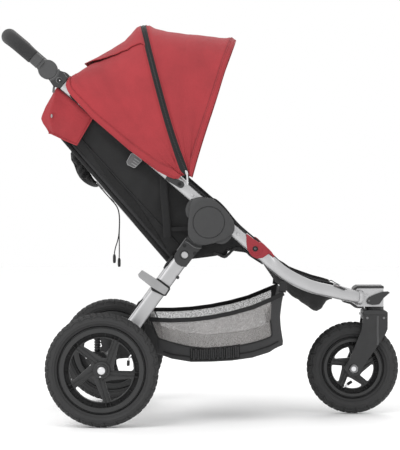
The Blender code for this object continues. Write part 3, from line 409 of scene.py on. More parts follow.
def sections(path, half_across, half_up, sides=24, power=2.0, level=False, taper=None):
    """Rings round a path. Level tubes keep one section axis horizontal."""
    path = [Vector(point) for point in path]
    rings = []
    across = None
    for index, point in enumerate(path):
        along = (path[min(index + 1, len(path) - 1)] - path[max(index - 1, 0)]).normalized()
        if level:
            across = UP.cross(along).normalized()
        elif across is None:
            across = along.cross(Vector((0.0, 1.0, 0.0)))
            across = across.normalized() if across.length > 0.1 else along.orthogonal().normalized()
        else:
            across = (across - along * across.dot(along)).normalized()
        up = along.cross(across)
        scale = taper[index] if taper else 1.0
        ring = []
        for step in range(sides):
            c, s = direction(360.0 * (step + 0.5) / sides)
            first = math.copysign(abs(c) ** (2.0 / power), c) * half_across * scale
            second = math.copysign(abs(s) ** (2.0 / power), s) * half_up * scale
            ring.append(point + across * first + up * second)
        rings.append(ring)
    return rings


def smooth_path(points, per_span):
    points = [Vector(point) for point in points]
    ends = [points[0] * 2.0 - points[1]] + points + [points[-1] * 2.0 - points[-2]]
    path = []
    for index in range(1, len(ends) - 2):
        before, here, there, after = ends[index - 1:index + 3]
        for step in range(per_span):
            t = step / per_span
            path.append(0.5 * (2.0 * here + (there - before) * t +
                (2.0 * before - 5.0 * here + 4.0 * there - after) * t * t +
                (3.0 * here - before - 3.0 * there + after) * t * t * t))
    path.append(points[-1])
    return path


def resample(points, count):
    """The same line with evenly spaced points."""
    line = np.array([tuple(point) for point in points], float)
    gone = np.concatenate([[0.0], np.cumsum(np.linalg.norm(np.diff(line, axis=0), axis=1))])
    at = np.linspace(0.0, gone[-1], count)
    return [Vector([np.interp(t, gone, line[:, k]) for k in range(3)]) for t in at]


def rounded(corners, steps=5):
    """Outline in the side plane from corners given as (x, z, radius)."""
    points = []
    for index, (x, z, radius) in enumerate(corners):
        here = Vector((x, z))
        if radius == 0.0:
            points.append((x, z))
            continue
        before = (Vector(corners[index - 1][:2]) - here).normalized()
        after = (Vector(corners[(index + 1) % len(corners)][:2]) - here).normalized()
        half = before.angle(after) / 2.0
        middle = here + (before + after).normalized() * (radius / math.sin(half))
        first = here + before * (radius / math.tan(half)) - middle
        last = here + after * (radius / math.tan(half)) - middle
        turn = math.atan2(first.cross(last), first.dot(last))
        for step in range(steps + 1):
            angle = turn * step / steps
            c, s = math.cos(angle), math.sin(angle)
            points.append((middle.x + first.x * c - first.y * s, middle.y + first.x * s + first.y * c))
    return points


def tenths(rows):
    """Rows of a table in tenths of a millimetre, in metres."""
    return [tuple(value / 10000.0 for value in row) for row in rows]


def on_side(side, rows):
    """Points (x, distance from the middle, z) in tenths of a millimetre, on one side of the object."""
    return [(x, side * y, z) for x, y, z in tenths(rows)]


def at_depth(line, y):
    """Points of the side plane, all at one distance across the object."""
    return [(x, y, z) for x, z in line]


def arc(centre, radius, first, last, steps):
    return [offset(centre, direction(first + (last - first) * i / steps), radius) for i in range(steps + 1)]


def modify(piece, kind, **settings):
    modifier = piece.modifiers.new(kind.lower(), kind)
    for key, value in settings.items():
        setattr(modifier, key, value)
    return piece


def bake(piece):
    """Apply the modifiers to the piece's own mesh."""
    depsgraph = bpy.context.evaluated_depsgraph_get()
    depsgraph.update()
    mesh = bpy.data.meshes.new_from_object(piece.evaluated_get(depsgraph), depsgraph=depsgraph)
    piece.modifiers.clear()
    piece.data = mesh
    return piece


def plate(name, outline, y_low, y_high, surface, body, bevel=0.001):
    rings = [at_depth(outline, y) for y in (y_low, y_high)]
    piece = Mesh().skin(rings).make(name, surface, body)
    if bevel:
        modify(piece, "BEVEL", width=bevel, segments=2, limit_method="ANGLE")
    return piece


def side_plate(name, outline, side, inner, outer, surface, body, bevel=0.001):
    low, high = sorted((side * inner, side * outer))
    return plate(name, outline, low, high, surface, body, bevel)


FLAT = {}


def declare(piece):
    """Look up a cloth's flat size, measured along its own rows and columns, and round it; nothing is done with the
    result.
    """
    width, length, area = FLAT[piece.name]
    width, length = round(width, 3), round(length, 3)


def sheet(name, grid, surface, body, thickness=0.0016, offset_share=-1.0):
    """Cloth from a grid of points, outside face as given."""
    place = as_array(grid)
    width = np.linalg.norm(np.diff(place, axis=1), axis=2).sum(axis=1).max()
    length = np.linalg.norm(np.diff(place, axis=0), axis=2).sum(axis=0).max()
    one = np.cross(place[1:, :-1] - place[:-1, :-1], place[:-1, 1:] - place[:-1, :-1])
    two = np.cross(place[1:, :-1] - place[1:, 1:], place[:-1, 1:] - place[1:, 1:])
    area = (np.linalg.norm(one, axis=2).sum() + np.linalg.norm(two, axis=2).sum()) / 2.0
    FLAT[name] = (float(width), float(length), float(area))
    piece = Mesh().skin(grid, loop=False, caps=False).make(name, surface, body, crease=180.0)
    modify(piece, "SOLIDIFY", thickness=thickness, offset=offset_share)
    return bake(piece)


def strap(name, path, across, width, thickness, surface, body, taper=None):
    """Flat webbing along a path; across is the direction of its width."""
    path = [Vector(point) for point in path]
    across = Vector(across)
    rings = []
    for index, point in enumerate(path):
        along = (path[min(index + 1, len(path) - 1)] - path[max(index - 1, 0)]).normalized()
        wide = (across - along * across.dot(along)).normalized()
        thick = along.cross(wide)
        half = width / 2.0 * (taper[index] if taper else 1.0)
        outline = [(1.0, 0.0), (0.94, 1.0), (0.5, 1.0), (-0.5, 1.0), (-0.94, 1.0), (-1.0, 0.0), (-0.94, -1.0),
            (-0.5, -1.0), (0.5, -1.0), (0.94, -1.0)]
        rings.append([point + wide * (half * a) + thick * (thickness / 2.0 * b) for a, b in outline])
    return Mesh().skin(rings).make(name, surface, body, crease=60.0)


def stitches(name, path, surface, body, step=0.0042, length=0.0030, radius=0.00035):
    """A line of short threads along a path that lies on the cloth."""
    total = sum((Vector(b) - Vector(a)).length for a, b in zip(path, path[1:]))
    marks = resample(path, max(int(total / step) * 2, 4))
    made = Mesh()
    for first, second in zip(marks[::2], marks[1::2]):
        along = (second - first).normalized()
        side = along.orthogonal().normalized() * radius
        other = along.cross(side)
        middle = (first + second) / 2.0
        base = len(made.points)
        tips = [middle - along * length / 2.0, middle + along * length / 2.0]
        made.points += [tuple(p) for p in [tips[0], middle + side, middle + other, middle - side,
            middle - other, tips[1]]]
        for k in range(4):
            a, b = base + 1 + k, base + 1 + (k + 1) % 4
            made.faces += [(base, a, b), (base + 5, b, a)]
    return made.make(name, surface, body, crease=180.0)


def screw(name, centre, side, radius, surface, body, depth=0.0012, socket=0.5):
    """Round screw or rivet head facing outwards, with a recess."""
    profile = [(radius, -0.001), (radius, depth * 0.5), (radius * 0.86, depth)]
    if socket:
        profile += [(radius * socket, depth), (radius * socket * 0.9, depth * 0.2), (radius * 0.05, depth * 0.2)]
    else:
        profile += [(radius * 0.5, depth * 1.25), (radius * 0.05, depth * 1.35)]
    profile = [(r, side * y) for r, y in profile]
    return Mesh().lathe(profile, centre, 20).make(name, surface, body)


# Camera, floor and light

camera_data = bpy.data.cameras.new("camera")
camera_data.lens = 145.44
camera_data.sensor_width = 36.0
camera_data.clip_start = 0.05
camera = linked("camera", camera_data)
camera.location = (-0.0111, -4.95, 0.6225)
camera.rotation_euler = (math.radians(90.0 - 1.26), 0.0, 0.0)
bpy.context.scene.camera = camera
bpy.context.scene.view_settings.view_transform = "Standard"

floor_look = Surface("floor_look", (0.985, 0.985, 0.985), 0.75, slot="floor")
floor_look.bump(floor_look.noise(40.0, 3.0), 0.02, 0.0005)
floor_mesh = bpy.data.meshes.new("floor")
floor_mesh.from_pydata([(-9.0, -9.0, -0.0005), (9.0, -9.0, -0.0005), (9.0, 9.0, -0.0005), (-9.0, 9.0, -0.0005)],
    [], [(0, 1, 2, 3)])
floor_mesh.materials.append(floor_look.material)
floor_object = linked("floor", floor_mesh)
floor_object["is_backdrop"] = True

world = bpy.data.worlds.new("studio")
world.use_nodes = True
world.node_tree.nodes["Background"].inputs[0].default_value = (1.0, 1.0, 1.0, 1.0)
world.node_tree.nodes["Background"].inputs[1].default_value = 1.0
bpy.context.scene.world = world


def area_light(name, place, target, size, power):
    data = bpy.data.lights.new(name, "AREA")
    data.energy = power
    data.size = size
    light = linked(name, data)
    light.location = place
    aim = Vector(target) - Vector(place)
    light.rotation_euler = aim.to_track_quat("-Z", "Y").to_euler()


area_light("key", (-2.4, -2.4, 3.4), (0.0, 0.0, 0.5), 3.0, 92.0)
area_light("fill", (2.8, -2.4, 1.6), (0.1, 0.0, 0.4), 1.6, 14.0)
area_light("back", (0.6, 3.0, 2.6), (0.0, 0.0, 0.5), 2.0, 25.0)


# The recline strap's two pull cords, on the CAD routes

CORD_RADIUS = 0.0015
CORD_ROUTES = {"right": ((-0.2433, 0.5718, -0.0035), (-0.2395, 0.5670, -0.0035), (-0.2340, 0.5560, -0.0035),
    (-0.2310, 0.5400, -0.0035), (-0.2303, 0.5218, -0.0035), (-0.2310, 0.5040, -0.0037),
    (-0.2322, 0.4869, -0.0042), (-0.2355, 0.4700, -0.0060), (-0.2398, 0.4564, -0.0080),
    (-0.2428, 0.4440, -0.0095), (-0.2439, 0.4346, -0.0100)),
    "left": ((-0.2433, 0.5718, 0.0035), (-0.2395, 0.5670, 0.0035), (-0.2340, 0.5560, 0.0035),
    (-0.2310, 0.5400, 0.0035), (-0.2303, 0.5218, 0.0035), (-0.2308, 0.5040, 0.0035), (-0.2314, 0.4869, 0.0037),
    (-0.2312, 0.4700, 0.0042), (-0.2311, 0.4537, 0.0048), (-0.2312, 0.4380, 0.0055), (-0.2316, 0.4237, 0.0060))}
for label, route in CORD_ROUTES.items():
    points = smooth_path([(x, y, z) for x, z, y in route], 3)
    curve = bpy.data.curves.new("pull_cord_" + label, "CURVE")
    curve.dimensions = "3D"
    curve.bevel_depth = CORD_RADIUS
    curve.bevel_resolution = 4
    curve.use_fill_caps = True
    spline = curve.splines.new("POLY")
    spline.points.add(len(points) - 1)
    for target, point in zip(spline.points, points):
        target.co = (*point, 1.0)
    curve.materials.append(webbing.material)
    cord = linked("pull_cord_" + label, curve)
    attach(cord, "backrest")
    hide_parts("recline_cord_" + label)


# Frame tubes, with rivets

def front_tube_path(side):
    bend = tenths(((1558, 2460, 4379), (1780, 2435, 4175), (2153, 2150, 3879), (2765, 1600, 3569),
        (3370, 1070, 3394), (3932, 580, 3245), (4300, 260, 3165)))
    route = []
    for distance in (0.022, 0.080, 0.135):
        x, z = offset(TUBE_FOOT, TUBE_UP, -distance)
        route.append((x, side * TUBE_Y, z))
    return smooth_path(route + [(x, side * y, z) for x, y, z in bend[:-1]] + [(0.4190, side * 0.0355, 0.3190)], 5)


for label, side in SIDES.items():
    front = tube("front_frame_tube_" + label, front_tube_path(side), 0.011, 0.01675, 32, silver,
        "front_chassis", power=2.6, level=True)
    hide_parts("front_tube_" + label)
    ends = [offset(TUBE_FOOT, TUBE_UP, distance) for distance in (0.022, 0.515)]
    upper = tube("upper_frame_tube_" + label, at_depth(ends, side * TUBE_Y), 0.011, 0.01675, 32, silver,
        "upper_chassis", power=2.6, level=True)
    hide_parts("upper_tube_" + label)
    ends = [on_leg(down, 0.0) for down in (0.118, 0.398)]
    leg = tube("rear_frame_leg_" + label, at_depth(ends, side * LEG_Y), 0.011, 0.01875, 36, leg_metal,
        "rear_legs", power=3.0, level=True)
    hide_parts("rear_leg_" + label)

    for number, (x, z, body) in enumerate(((-0.0308, 0.5955, "upper_chassis"), (0.0862, 0.4968, "front_chassis"))):
        screw("tube_rivet_%d_%s" % (number, label), (x, side * 0.2566, z), side, 0.0042, casting, body, 0.0018, 0.0)
    plate_line = rounded(tenths([(1090, 4972, 10), (1200, 4889, 40), (1300, 4818, 40), (1400, 4752, 30),
        (1479, 4740, 30), (1532, 4706, 50), (1638, 4602, 60), (1668, 4500, 50), (1655, 4445, 40),
        (1511, 4343, 100), (1361, 4323, 100), (1225, 4383, 100), (1108, 4565, 120), (1084, 4760, 100)]), 5)
    collar = side_plate("collar_plate_" + label, plate_line, side, 0.2330, 0.2592, red_shell, "front_chassis", 0.0022)
    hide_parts("joint_collar_" + label)
    tongue = rounded(tenths([(1470, 4735, 40), (1664, 4580, 100), (1745, 4492, 60), (1826, 4368, 10),
        (1792, 4366, 10), (1700, 4440, 40), (1600, 4480, 40), (1480, 4600, 20)]), 4)
    side_plate("collar_tongue_" + label, tongue, side, 0.2400, 0.2580, red_shell, "front_chassis", 0.0016)
    for number, (reach, first, last) in enumerate(((0.0130, 190.0, 340.0), (0.0182, 215.0, 350.0))):
        tube("collar_ridge_%d_%s" % (number, label),
            at_depth(arc((0.1316, 0.4579), reach, first, last, 24), side * 0.2590), 0.0010, 0.0010, 8,
            red_shell, "front_chassis")
    screw("collar_screw_" + label, (0.1316, side * 0.2592, 0.4579), side, 0.0070, black_and_shade_shell, "front_chassis",
        0.0026, 0.66)
    dome = tenths([(44, 2590), (40, 2612), (26, 2626), (4, 2630)])
    turned("collar_bolt_" + label, dome, side, (0.1316, 0.0, 0.4579), 24, dark_steel, "front_chassis")
    for number, (first, last, body) in enumerate(((0.105, 0.045, "upper_chassis"),
            (-0.046, -0.093, "front_chassis"))):
        line = [offset(TUBE_FOOT, TUBE_UP, first + (last - first) * t, -across)
            for across, share in ((0.0195, (0.0, 0.5, 1.0)), (0.0145, (1.0, 0.5, 0.0))) for t in share]
        side_plate("tube_edge_cloth_%d_%s" % (number, label), line, side, 0.2380, 0.2580, band_cloth, body, 0.0012)
    x, z = on_leg(0.1643, -0.0200)
    knob = Mesh().lathe(tenths([(40, -100), (40, 100), (20, 112)]), (x, side * LEG_Y, z), 16)
    knob.make("leg_knob_" + label, dark_shell, "rear_legs")


# Hub covers with a bare round face

HUB_OUTLINE = tenths(((-161, 655), (81, 610), (230, 500), (390, 357), (500, 235), (598, 98), (650, -10),
    (667, -120), (649, -229), (580, -332), (425, -436), (270, -495), (115, -545), (-161, -590), (-350, -545),
    (-470, -425), (-531, -300), (-536, -75), (-515, 167), (-490, 400), (-470, 500), (-415, 585), (-320, 635)))
hub_line = smooth_path([(x, z, 0.0) for x, z in HUB_OUTLINE + HUB_OUTLINE[:3]], 12)[:-24]
hub_line = np.array([(point.x, point.y) for point in hub_line[12:] + hub_line[:12]])
hub_angles = np.arctan2(hub_line[:, 1], hub_line[:, 0])
order = np.argsort(hub_angles)
hub_angles, hub_radii = hub_angles[order], np.linalg.norm(hub_line[order], axis=1)
HUB_SEGMENTS = 144
HUB_RINGS = ((0.0, None, 0.2573), (0.0, None, 0.2700), (-0.0006, None, 0.2718), (-0.0022, None, 0.2732),
    (-0.0035, 0.5, 0.2741), (0.0, 0.0418, 0.2744), (0.0, 0.0412, 0.2727), (0.0, 0.0398, 0.2727),
    (0.0, 0.0392, 0.2745), (0.0, 0.0300, 0.2749), (0.0, 0.0150, 0.2752), (0.0, 0.0006, 0.2753))
for label, side in SIDES.items():
    lobes = tenths([(-446, 610), (-527, 520), (-573, 430), (-597, 340), (-588, 240), (-552, 140), (-400, 0),
        (-250, -250), (150, -470), (175, -526), (245, -550), (345, -562), (445, -530), (525, -462), (590, -360),
        (560, -200), (300, 200), (0, 420), (-300, 600)])
    lobes = smooth_path([(HUB[0] + x, 0.0, HUB[1] + z) for x, z in lobes + lobes[:1]], 4)[:-1]
    disc = side_plate("hub_back_disc_" + label, [(p.x, p.z) for p in lobes], side, 0.2320, 0.2568, black_shell,
        "upper_chassis", 0.0016)
    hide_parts("hub_disc_" + label)
    rings = []
    for inset, fixed, y in HUB_RINGS:
        ring = []
        for step in range(HUB_SEGMENTS):
            angle = -math.pi + 2.0 * math.pi * step / HUB_SEGMENTS
            edge = float(np.interp(angle, hub_angles, hub_radii, period=2.0 * math.pi))
            if fixed == 0.5:
                radius = (edge - 0.0023 + 0.0414) / 2.0
            else:
                radius = edge + inset if fixed is None else fixed
            ring.append((HUB[0] + radius * math.cos(angle), side * y, HUB[1] + radius * math.sin(angle)))
        rings.append(ring)
    cover = Mesh().skin(rings).make("hub_shell_" + label, hub_shell, "front_chassis", 50.0)
    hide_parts("hub_cover_" + label)


# Wheels

TYRE_HALF = 0.0226
TYRE_SQUARE = 2.25  # 2 is a round section, more is squarer


def tyre_mesh(centre, radius, rim, lugs):
    """Air tyre with cut shoulder blocks, a side ridge and a bead line."""
    segments, sides = lugs * 16, 56
    half = (radius - rim) / 2.0
    middle = radius - half
    rings = []
    for step in range(segments):
        degrees = -90.0 + 360.0 * step / segments
        dx, dz = direction(degrees)
        ring = []
        for k in range(sides):
            c, s = direction(360.0 * (k + 0.5) / sides)
            y = math.copysign(abs(c) ** (2.0 / TYRE_SQUARE), c) * TYRE_HALF
            out = math.copysign(abs(s) ** (2.0 / TYRE_SQUARE), s) * (half - 0.0006)
            height = out / half
            reach = abs(y) / TYRE_HALF
            depth = 0.0
            if height > 0.10:
                share = 0.5 if y > 0.0 else 0.0
                phase = (step / 16.0 + 0.30 * reach + share) % 1.0
                if height > 0.40 and abs(phase - 0.5) < 0.07:
                    depth = 0.0024
                if abs(height - 0.42 - 0.10 * math.cos(2.0 * math.pi * phase)) < 0.045:
                    depth = 0.0018
                if height > 0.74 and abs((phase + 0.5) % 1.0 - 0.5) < 0.06:
                    depth = 0.0026
                if height > 0.80 and abs(abs(y) - 0.0055) < 0.0016:
                    depth = 0.0022
            if abs(height + 0.05) < 0.05:
                depth = -0.0010
            if abs(height + 0.62) < 0.07:
                depth = 0.0011
            if abs(height + 0.42) < 0.04:
                depth = -0.0005
            norm = math.hypot(out / half, y / TYRE_HALF)
            out -= depth * (out / half) / norm
            y -= depth * (y / TYRE_HALF) / norm
            ring.append((centre[0] + (middle + out) * dx, centre[1] + y, centre[2] + (middle + out) * dz))
        rings.append(ring)
    return Mesh().skin(rings, closed=True)


def flat_rim(name, centre, outer, windows, bore, half, face, sign, body):
    """Plate with rounded windows between its spokes, from filled curves."""
    curve = bpy.data.curves.new(name, "CURVE")
    curve.dimensions = "2D"
    curve.fill_mode = "BOTH"
    curve.extrude = half - 0.0008
    curve.bevel_depth = 0.0008
    curve.bevel_resolution = 1
    for outline in windows + [arc((0.0, 0.0), outer - 0.0008, 0.0, 357.0, 119)] + [arc((0.0, 0.0),
            bore + 0.0008, 0.0, 345.0, 23)]:
        spline = curve.splines.new("POLY")
        spline.points.add(len(outline) - 1)
        for point, (x, z) in zip(spline.points, outline):
            point.co = (x, z, 0.0, 1.0)
        spline.use_cyclic_u = True
    holder = linked(name, curve)
    depsgraph = bpy.context.evaluated_depsgraph_get()
    depsgraph.update()
    mesh = bpy.data.meshes.new_from_object(holder.evaluated_get(depsgraph), depsgraph=depsgraph)
    bpy.data.objects.remove(holder)
    made = Mesh()
    made.points = [(centre[0] + v.co.x, centre[1] + sign * (face - half + v.co.z), centre[2] + v.co.y)
        for v in mesh.vertices]
    made.faces = [tuple(p.vertices) for p in mesh.polygons]
    bpy.data.meshes.remove(mesh)
    return made.make(name, wheel_shell, body, 35.0)


def window_outlines(spokes, inner, outer, half_spoke):
    """Windows whose inner corner lies beside the spoke that they start from."""
    outlines = []
    trim = math.degrees(half_spoke / outer)
    for index, here in enumerate(spokes):
        there = spokes[(index + 1) % len(spokes)]
        there = there + 360.0 if there < here else there
        edge = arc((0.0, 0.0), outer, here + trim + 4.0, there - trim - 4.0, 14)
        start = polar(here + trim, outer)
        stop = polar(there - trim, outer)
        tip = polar(here + 4.0, inner)
        low = polar(here + 26.0, inner * 1.02)
        outline = rounded([(*tip, 0.0), (*start, 0.0045), (*edge[3], 0.0)], 5)[1:7]
        outline += edge[3:-3]
        outline += rounded([(*edge[-4], 0.0), (*stop, 0.0045), (*low, 0.0)], 5)[1:7]
        outline += rounded([(*stop, 0.0), (*low, 0.0030), (*tip, 0.0)], 4)[1:6]
        outline += rounded([(*low, 0.0), (*tip, 0.0025), (*start, 0.0)], 4)[1:6]
        outlines.append(outline)
    return outlines


def spoke_rings(centre, angle, lean, inner, outer, half_wide, low, high, sign):
    """Raised rib along a spoke, with sloped sides."""
    start = polar(angle + lean, inner)
    stop = polar(angle, outer)
    along = Vector((stop[0] - start[0], 0.0, stop[1] - start[1])).normalized()
    across = along.cross(Vector((0.0, 1.0, 0.0)))
    rings = []
    for share in (0.0, 0.25, 0.75, 1.0):
        x = start[0] + (stop[0] - start[0]) * share
        z = start[1] + (stop[1] - start[1]) * share
        outline = [(-half_wide, low), (-half_wide, high - 0.0006), (-half_wide + 0.0006, high),
            (half_wide - 0.0006, high), (half_wide, high - 0.0006), (half_wide, low)]
        rings.append([(centre[0] + x + across.x * a, centre[1] + sign * y, centre[2] + z + across.z * a)
            for a, y in outline])
    return rings


def rim_details(centre, rim, flange, lip, hub, hub_half, spokes, sign, bore, face):
    """Flange that holds the tyre, hub barrel, spoke ribs and the well's ticks."""
    made = Mesh()
    ring = [(flange, face - 0.0065), (flange, 0.0148), (flange + 0.0010, 0.0163), (rim - 0.0058, 0.0170),
        (rim - 0.0036, 0.0166), (rim - 0.0022, 0.0150), (rim - 0.0010, 0.0140), (rim, 0.0135), (rim, -0.0150),
        (rim - 0.0040, -0.0165), (flange + 0.0010, -0.0165), (flange, -0.0150), (flange, face - 0.0105),
        (flange + 0.0035, face - 0.0085)]
    made.lathe([(r, sign * y) for r, y in ring], centre, 128, closed=True)
    core = [(bore, -hub_half), (hub - 0.0015, -hub_half), (hub, -hub_half + 0.0015), (hub, face - 0.004),
        (hub, hub_half * 0.60), (hub - 0.0012, hub_half * 0.68), (hub * 0.74, hub_half * 0.72),
        (hub * 0.70, hub_half * 0.94), (hub * 0.64, hub_half), (bore, hub_half)]
    made.lathe([(r, sign * y) for r, y in core], centre, 64, closed=True)
    for angle in spokes:
        for shift, lean in ((4.3, -2.0), (-2.6, -26.0)):
            turn = shift * (0.083 / lip)
            made.skin(spoke_rings(centre, angle + turn, lean - turn, hub + 0.001, lip - 0.001, 0.00095,
                face - 0.0030, face + 0.0034, sign))
            made.skin(spoke_rings(centre, angle + turn, 0.0, lip - 0.0015, flange + 0.001, 0.00085,
                face - 0.0070, face + 0.0010, sign))
    ticks = 15
    for step in range(ticks):
        angle = 360.0 * (step + 0.5) / ticks
        along = direction(angle)
        rings = []
        for reach in (lip + 0.0020, flange + 0.0004):
            rings.append([(centre[0] + along[0] * reach - along[1] * a, centre[1] + sign * y,
                centre[2] + along[1] * reach + along[0] * a)
                for a, y in ((-0.0006, face - 0.0062), (-0.0006, face - 0.0022), (0.0006, face - 0.0022),
                (0.0006, face - 0.0062))])
        made.skin(rings)
    return made


def valve(name, centre, route, sign, body):
    """Bent valve stem with a cap, on a route of (distance, angle) about the wheel's centre."""
    y = centre[1] + sign * 0.004
    points = [offset((centre[0], centre[2]), direction(angle), reach) for reach, angle in route]
    stem = smooth_path(at_depth(points[:-1], y), 5)
    tube(name + "_stem", stem, 0.0022, 0.0022, 12, chrome, body)
    start, stop = Vector((points[-2][0], y, points[-2][1])), Vector((points[-1][0], y, points[-1][1]))
    cap = [start.lerp(stop, t) for t in (0.0, 0.1, 0.85, 1.0)]
    tube(name + "_cap", cap, 0.0040, 0.0040, 14, black_and_shade_shell, body, taper=[0.9, 1.0, 1.0, 0.75])


REAR_SPOKES = (63.8, 135.8, 207.8, 279.8, 351.8)
FRONT_SPOKES = (20.7, 92.7, 164.7, 236.7, 308.7)
wheels = [("front", "front_wheel", (FRONT_AXLE[0], 0.0, FRONT_AXLE[1]), 0.1255, 0.082, FRONT_SPOKES, -1.0)]
for label, side in SIDES.items():
    spot = (REAR_AXLE[0], side * 0.2895, REAR_AXLE[1])
    wheels.append(("rear", "rear_wheel_" + label, spot, 0.1475, 0.112, REAR_SPOKES, side))
for kind, body, centre, radius, rim, spokes, sign in wheels:
    ending = "" if kind == "front" else "_" + body.split("_")[-1]
    tyre = tyre_mesh(centre, radius, rim - 0.0012, 22 if kind == "front" else 27).make(kind + "_air_tyre" +
        ending, tyre_rubber, body, 28.0)
    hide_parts(kind + "_tyre" + ending)
    hub_half = 0.029 if kind == "front" else 0.017
    flange, lip = (0.0700, 0.0600) if kind == "front" else (0.0962, 0.0856)
    face, half_spoke = 0.0048, 0.0078 if kind == "front" else 0.0088
    wheel = rim_details(centre, rim, flange, lip, 0.0225, hub_half, spokes, sign, 0.0066,
        face).make(kind + "_spoked_rim" + ending, wheel_shell, body, 35.0)
    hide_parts(kind + "_rim" + ending)
    windows = window_outlines(spokes, 0.0310 if kind == "rear" else 0.0285, lip - 0.0022, half_spoke)
    flat_rim(kind + "_rim_plate" + ending, centre, lip, windows, 0.0066, 0.0035, face, sign, body)
    # The near-black well ring paints the shade in the rim's recessed well.
    well = [(lip - 0.0010, face - 0.0095), (lip - 0.0010, face - 0.0062), (flange + 0.0006, face - 0.0062),
        (flange + 0.0006, face - 0.0095)]
    turned(kind + "_rim_well" + ending, well, sign, centre, 96, black_and_shade_shell, body, closed=True)
    if kind == "front":
        valve("front_valve", centre, ((0.0600, 245.0), (0.0560, 249.0), (0.0490, 253.0), (0.0380, 268.0)), sign, body)
    else:
        valve("rear_valve" + ending, centre, ((0.0860, 27.0), (0.0790, 25.0), (0.0730, 20.0), (0.0690, 9.0)),
            sign, body)
        cap = tenths([(100, 150), (104, 198), (98, 216), (60, 226), (58, 218), (4, 220)])
        turned("wheel_cap" + ending, cap, sign, centre, 32, chrome, body)
        pin = (centre[0] - 0.0033, centre[1] + sign * 0.0170, centre[2] - 0.0160)
        screw("wheel_pin" + ending, pin, sign, 0.0022, chrome, body, 0.0010, 0.0)


# Fork and front housing details

for label, side in SIDES.items():
    for number, (x, z) in enumerate(((0.4412, 0.2632), (0.4862, 0.2632))):
        screw("fork_screw_%d_%s" % (number, label), (x, side * 0.0414, z), side, 0.0036, bolt_metal, "fork",
            0.0016, 0.5)
    seat_ring = tenths([(135, 412), (135, 424), (122, 424), (122, 412)])
    turned("axle_seat_" + label, seat_ring, side, (FRONT_AXLE[0], 0.0, FRONT_AXLE[1]), 40, black_and_shade_shell, "fork",
        closed=True)
    bolt = tenths([(108, 414), (108, 462), (98, 476), (66, 480), (60, 466), (6, 466)])
    turned("axle_bolt_" + label, bolt, side, (FRONT_AXLE[0], 0.0, FRONT_AXLE[1]), 32, bolt_metal, "fork")
    crease_line = tenths([(4690, 2690), (4692, 2450), (4690, 2200), (4700, 2010), (4680, 1900)])
    ridge = at_depth(crease_line, side * 0.0414)
    # The crease ridge takes the lighter black_shell, a painted highlight along the fork's crease.
    tube("fork_ridge_" + label, smooth_path(ridge, 6), 0.0034, 0.0020, 16, black_shell, "fork")
    crown = rounded(tenths([(4300, 2720, 20), (4300, 2800, 40), (4340, 2840, 20), (4860, 2840, 30),
        (4925, 2830, 50), (4940, 2720, 20)]), 4)
    side_plate("fork_crown_rim_" + label, crown, side, 0.0290, 0.0424, dark_shell, "fork", 0.0010)
    flange_line = on_side(side, [(4125, 405, 3199), (4160, 375, 3192), (4225, 320, 3180)])
    tube("housing_weld_" + label, flange_line, 0.0150, 0.0200, 36, casting, "front_chassis", power=2.2,
        level=True, taper=[0.90, 1.0, 1.0])
    screw("housing_screw_" + label, (0.4415, side * 0.0342, 0.3272), side, 0.0030, casting, "front_chassis",
        0.0012, 0.5)
    lip = rounded(tenths([(4068, 3400, 0), (4130, 3456, 10), (4868, 3456, 10), (4868, 3430, 10),
        (4150, 3428, 10), (4085, 3375, 10)]), 3)
    side_plate("housing_cover_lip_" + label, lip, side, 0.0330, 0.0356, dark_shell, "front_chassis", 0.0006)
under_line = tenths([(3780, 0, 3080), (3985, 0, 3016), (4120, 0, 2924), (4330, 0, 2912)])
tube("housing_under_cover", smooth_path(under_line, 5), 0.0345, 0.0034, 24, dark_shell, "front_chassis",
    power=6.0, level=True)
front_lip = tenths([(4045, 0, 3385), (4090, 0, 3440), (4135, 0, 3470)])
tube("housing_front_lip", smooth_path(front_lip, 4), 0.0352, 0.0016, 24, dark_shell, "front_chassis", power=6.0,
    level=True)
screw("lever_pin", (0.4460, -0.0405, 0.3095), -1.0, 0.0026, mid_shell, "swivel_lever", 0.0012, 0.0)
step_bolt = Mesh().lathe(tenths([(5, -300), (42, -300), (42, 300), (5, 300)]), (0.4285, 0.0, 0.2705), 16)
step_bolt.make("crown_bolt", bolt_metal, "fork")


# Sun hood

HOOD_STATIONS = ((69.0, 0.4085, 2.8), (71.3, 0.4130, 2.8), (72.8, 0.4070, 2.8), (75.0, 0.4030, 2.8),
    (80.0, 0.3995, 2.8), (88.0, 0.3990, 2.9), (95.0, 0.4070, 3.0), (99.8, 0.4210, 3.0), (101.5, 0.4315, 3.0),
    (102.6, 0.4315, 3.0), (103.7, 0.4305, 3.0), (105.4, 0.4330, 3.1), (108.8, 0.4165, 3.3),
    (112.0, 0.4045, 3.4), (118.0, 0.3985, 3.4), (124.0, 0.3960, 3.8), (129.0, 0.3950, 5.5),
    (133.0, 0.3945, 9.0), (138.0, 0.3955, 30.0))
HOOD_HALF = 0.2650
ZIP_ANGLE = 103.7
HEM_REACH = (0.0, 0.023, 0.063, 0.156, 0.282, 0.368, 0.384, 0.398)
HEM_SHIFT = (0.0130, -0.0066, -0.0177, -0.0262, -0.0290, -0.0215, -0.0140, 0.0040)


def hood_shift(angle, reach):
    """How far the side cloth lies forward of the plain fan line at this angle."""
    front = 0.023 * math.exp(-reach / 0.19)
    zipped = 0.026 * math.exp(-reach / 0.095)
    if angle <= ZIP_ANGLE:
        share = (angle - 69.0) / (ZIP_ANGLE - 69.0)
        return front + (zipped - front) * share
    share = (angle - ZIP_ANGLE) / (138.0 - ZIP_ANGLE)
    hem = between(reach, HEM_REACH, HEM_SHIFT)
    return zipped + (hem - zipped) * share ** 1.3


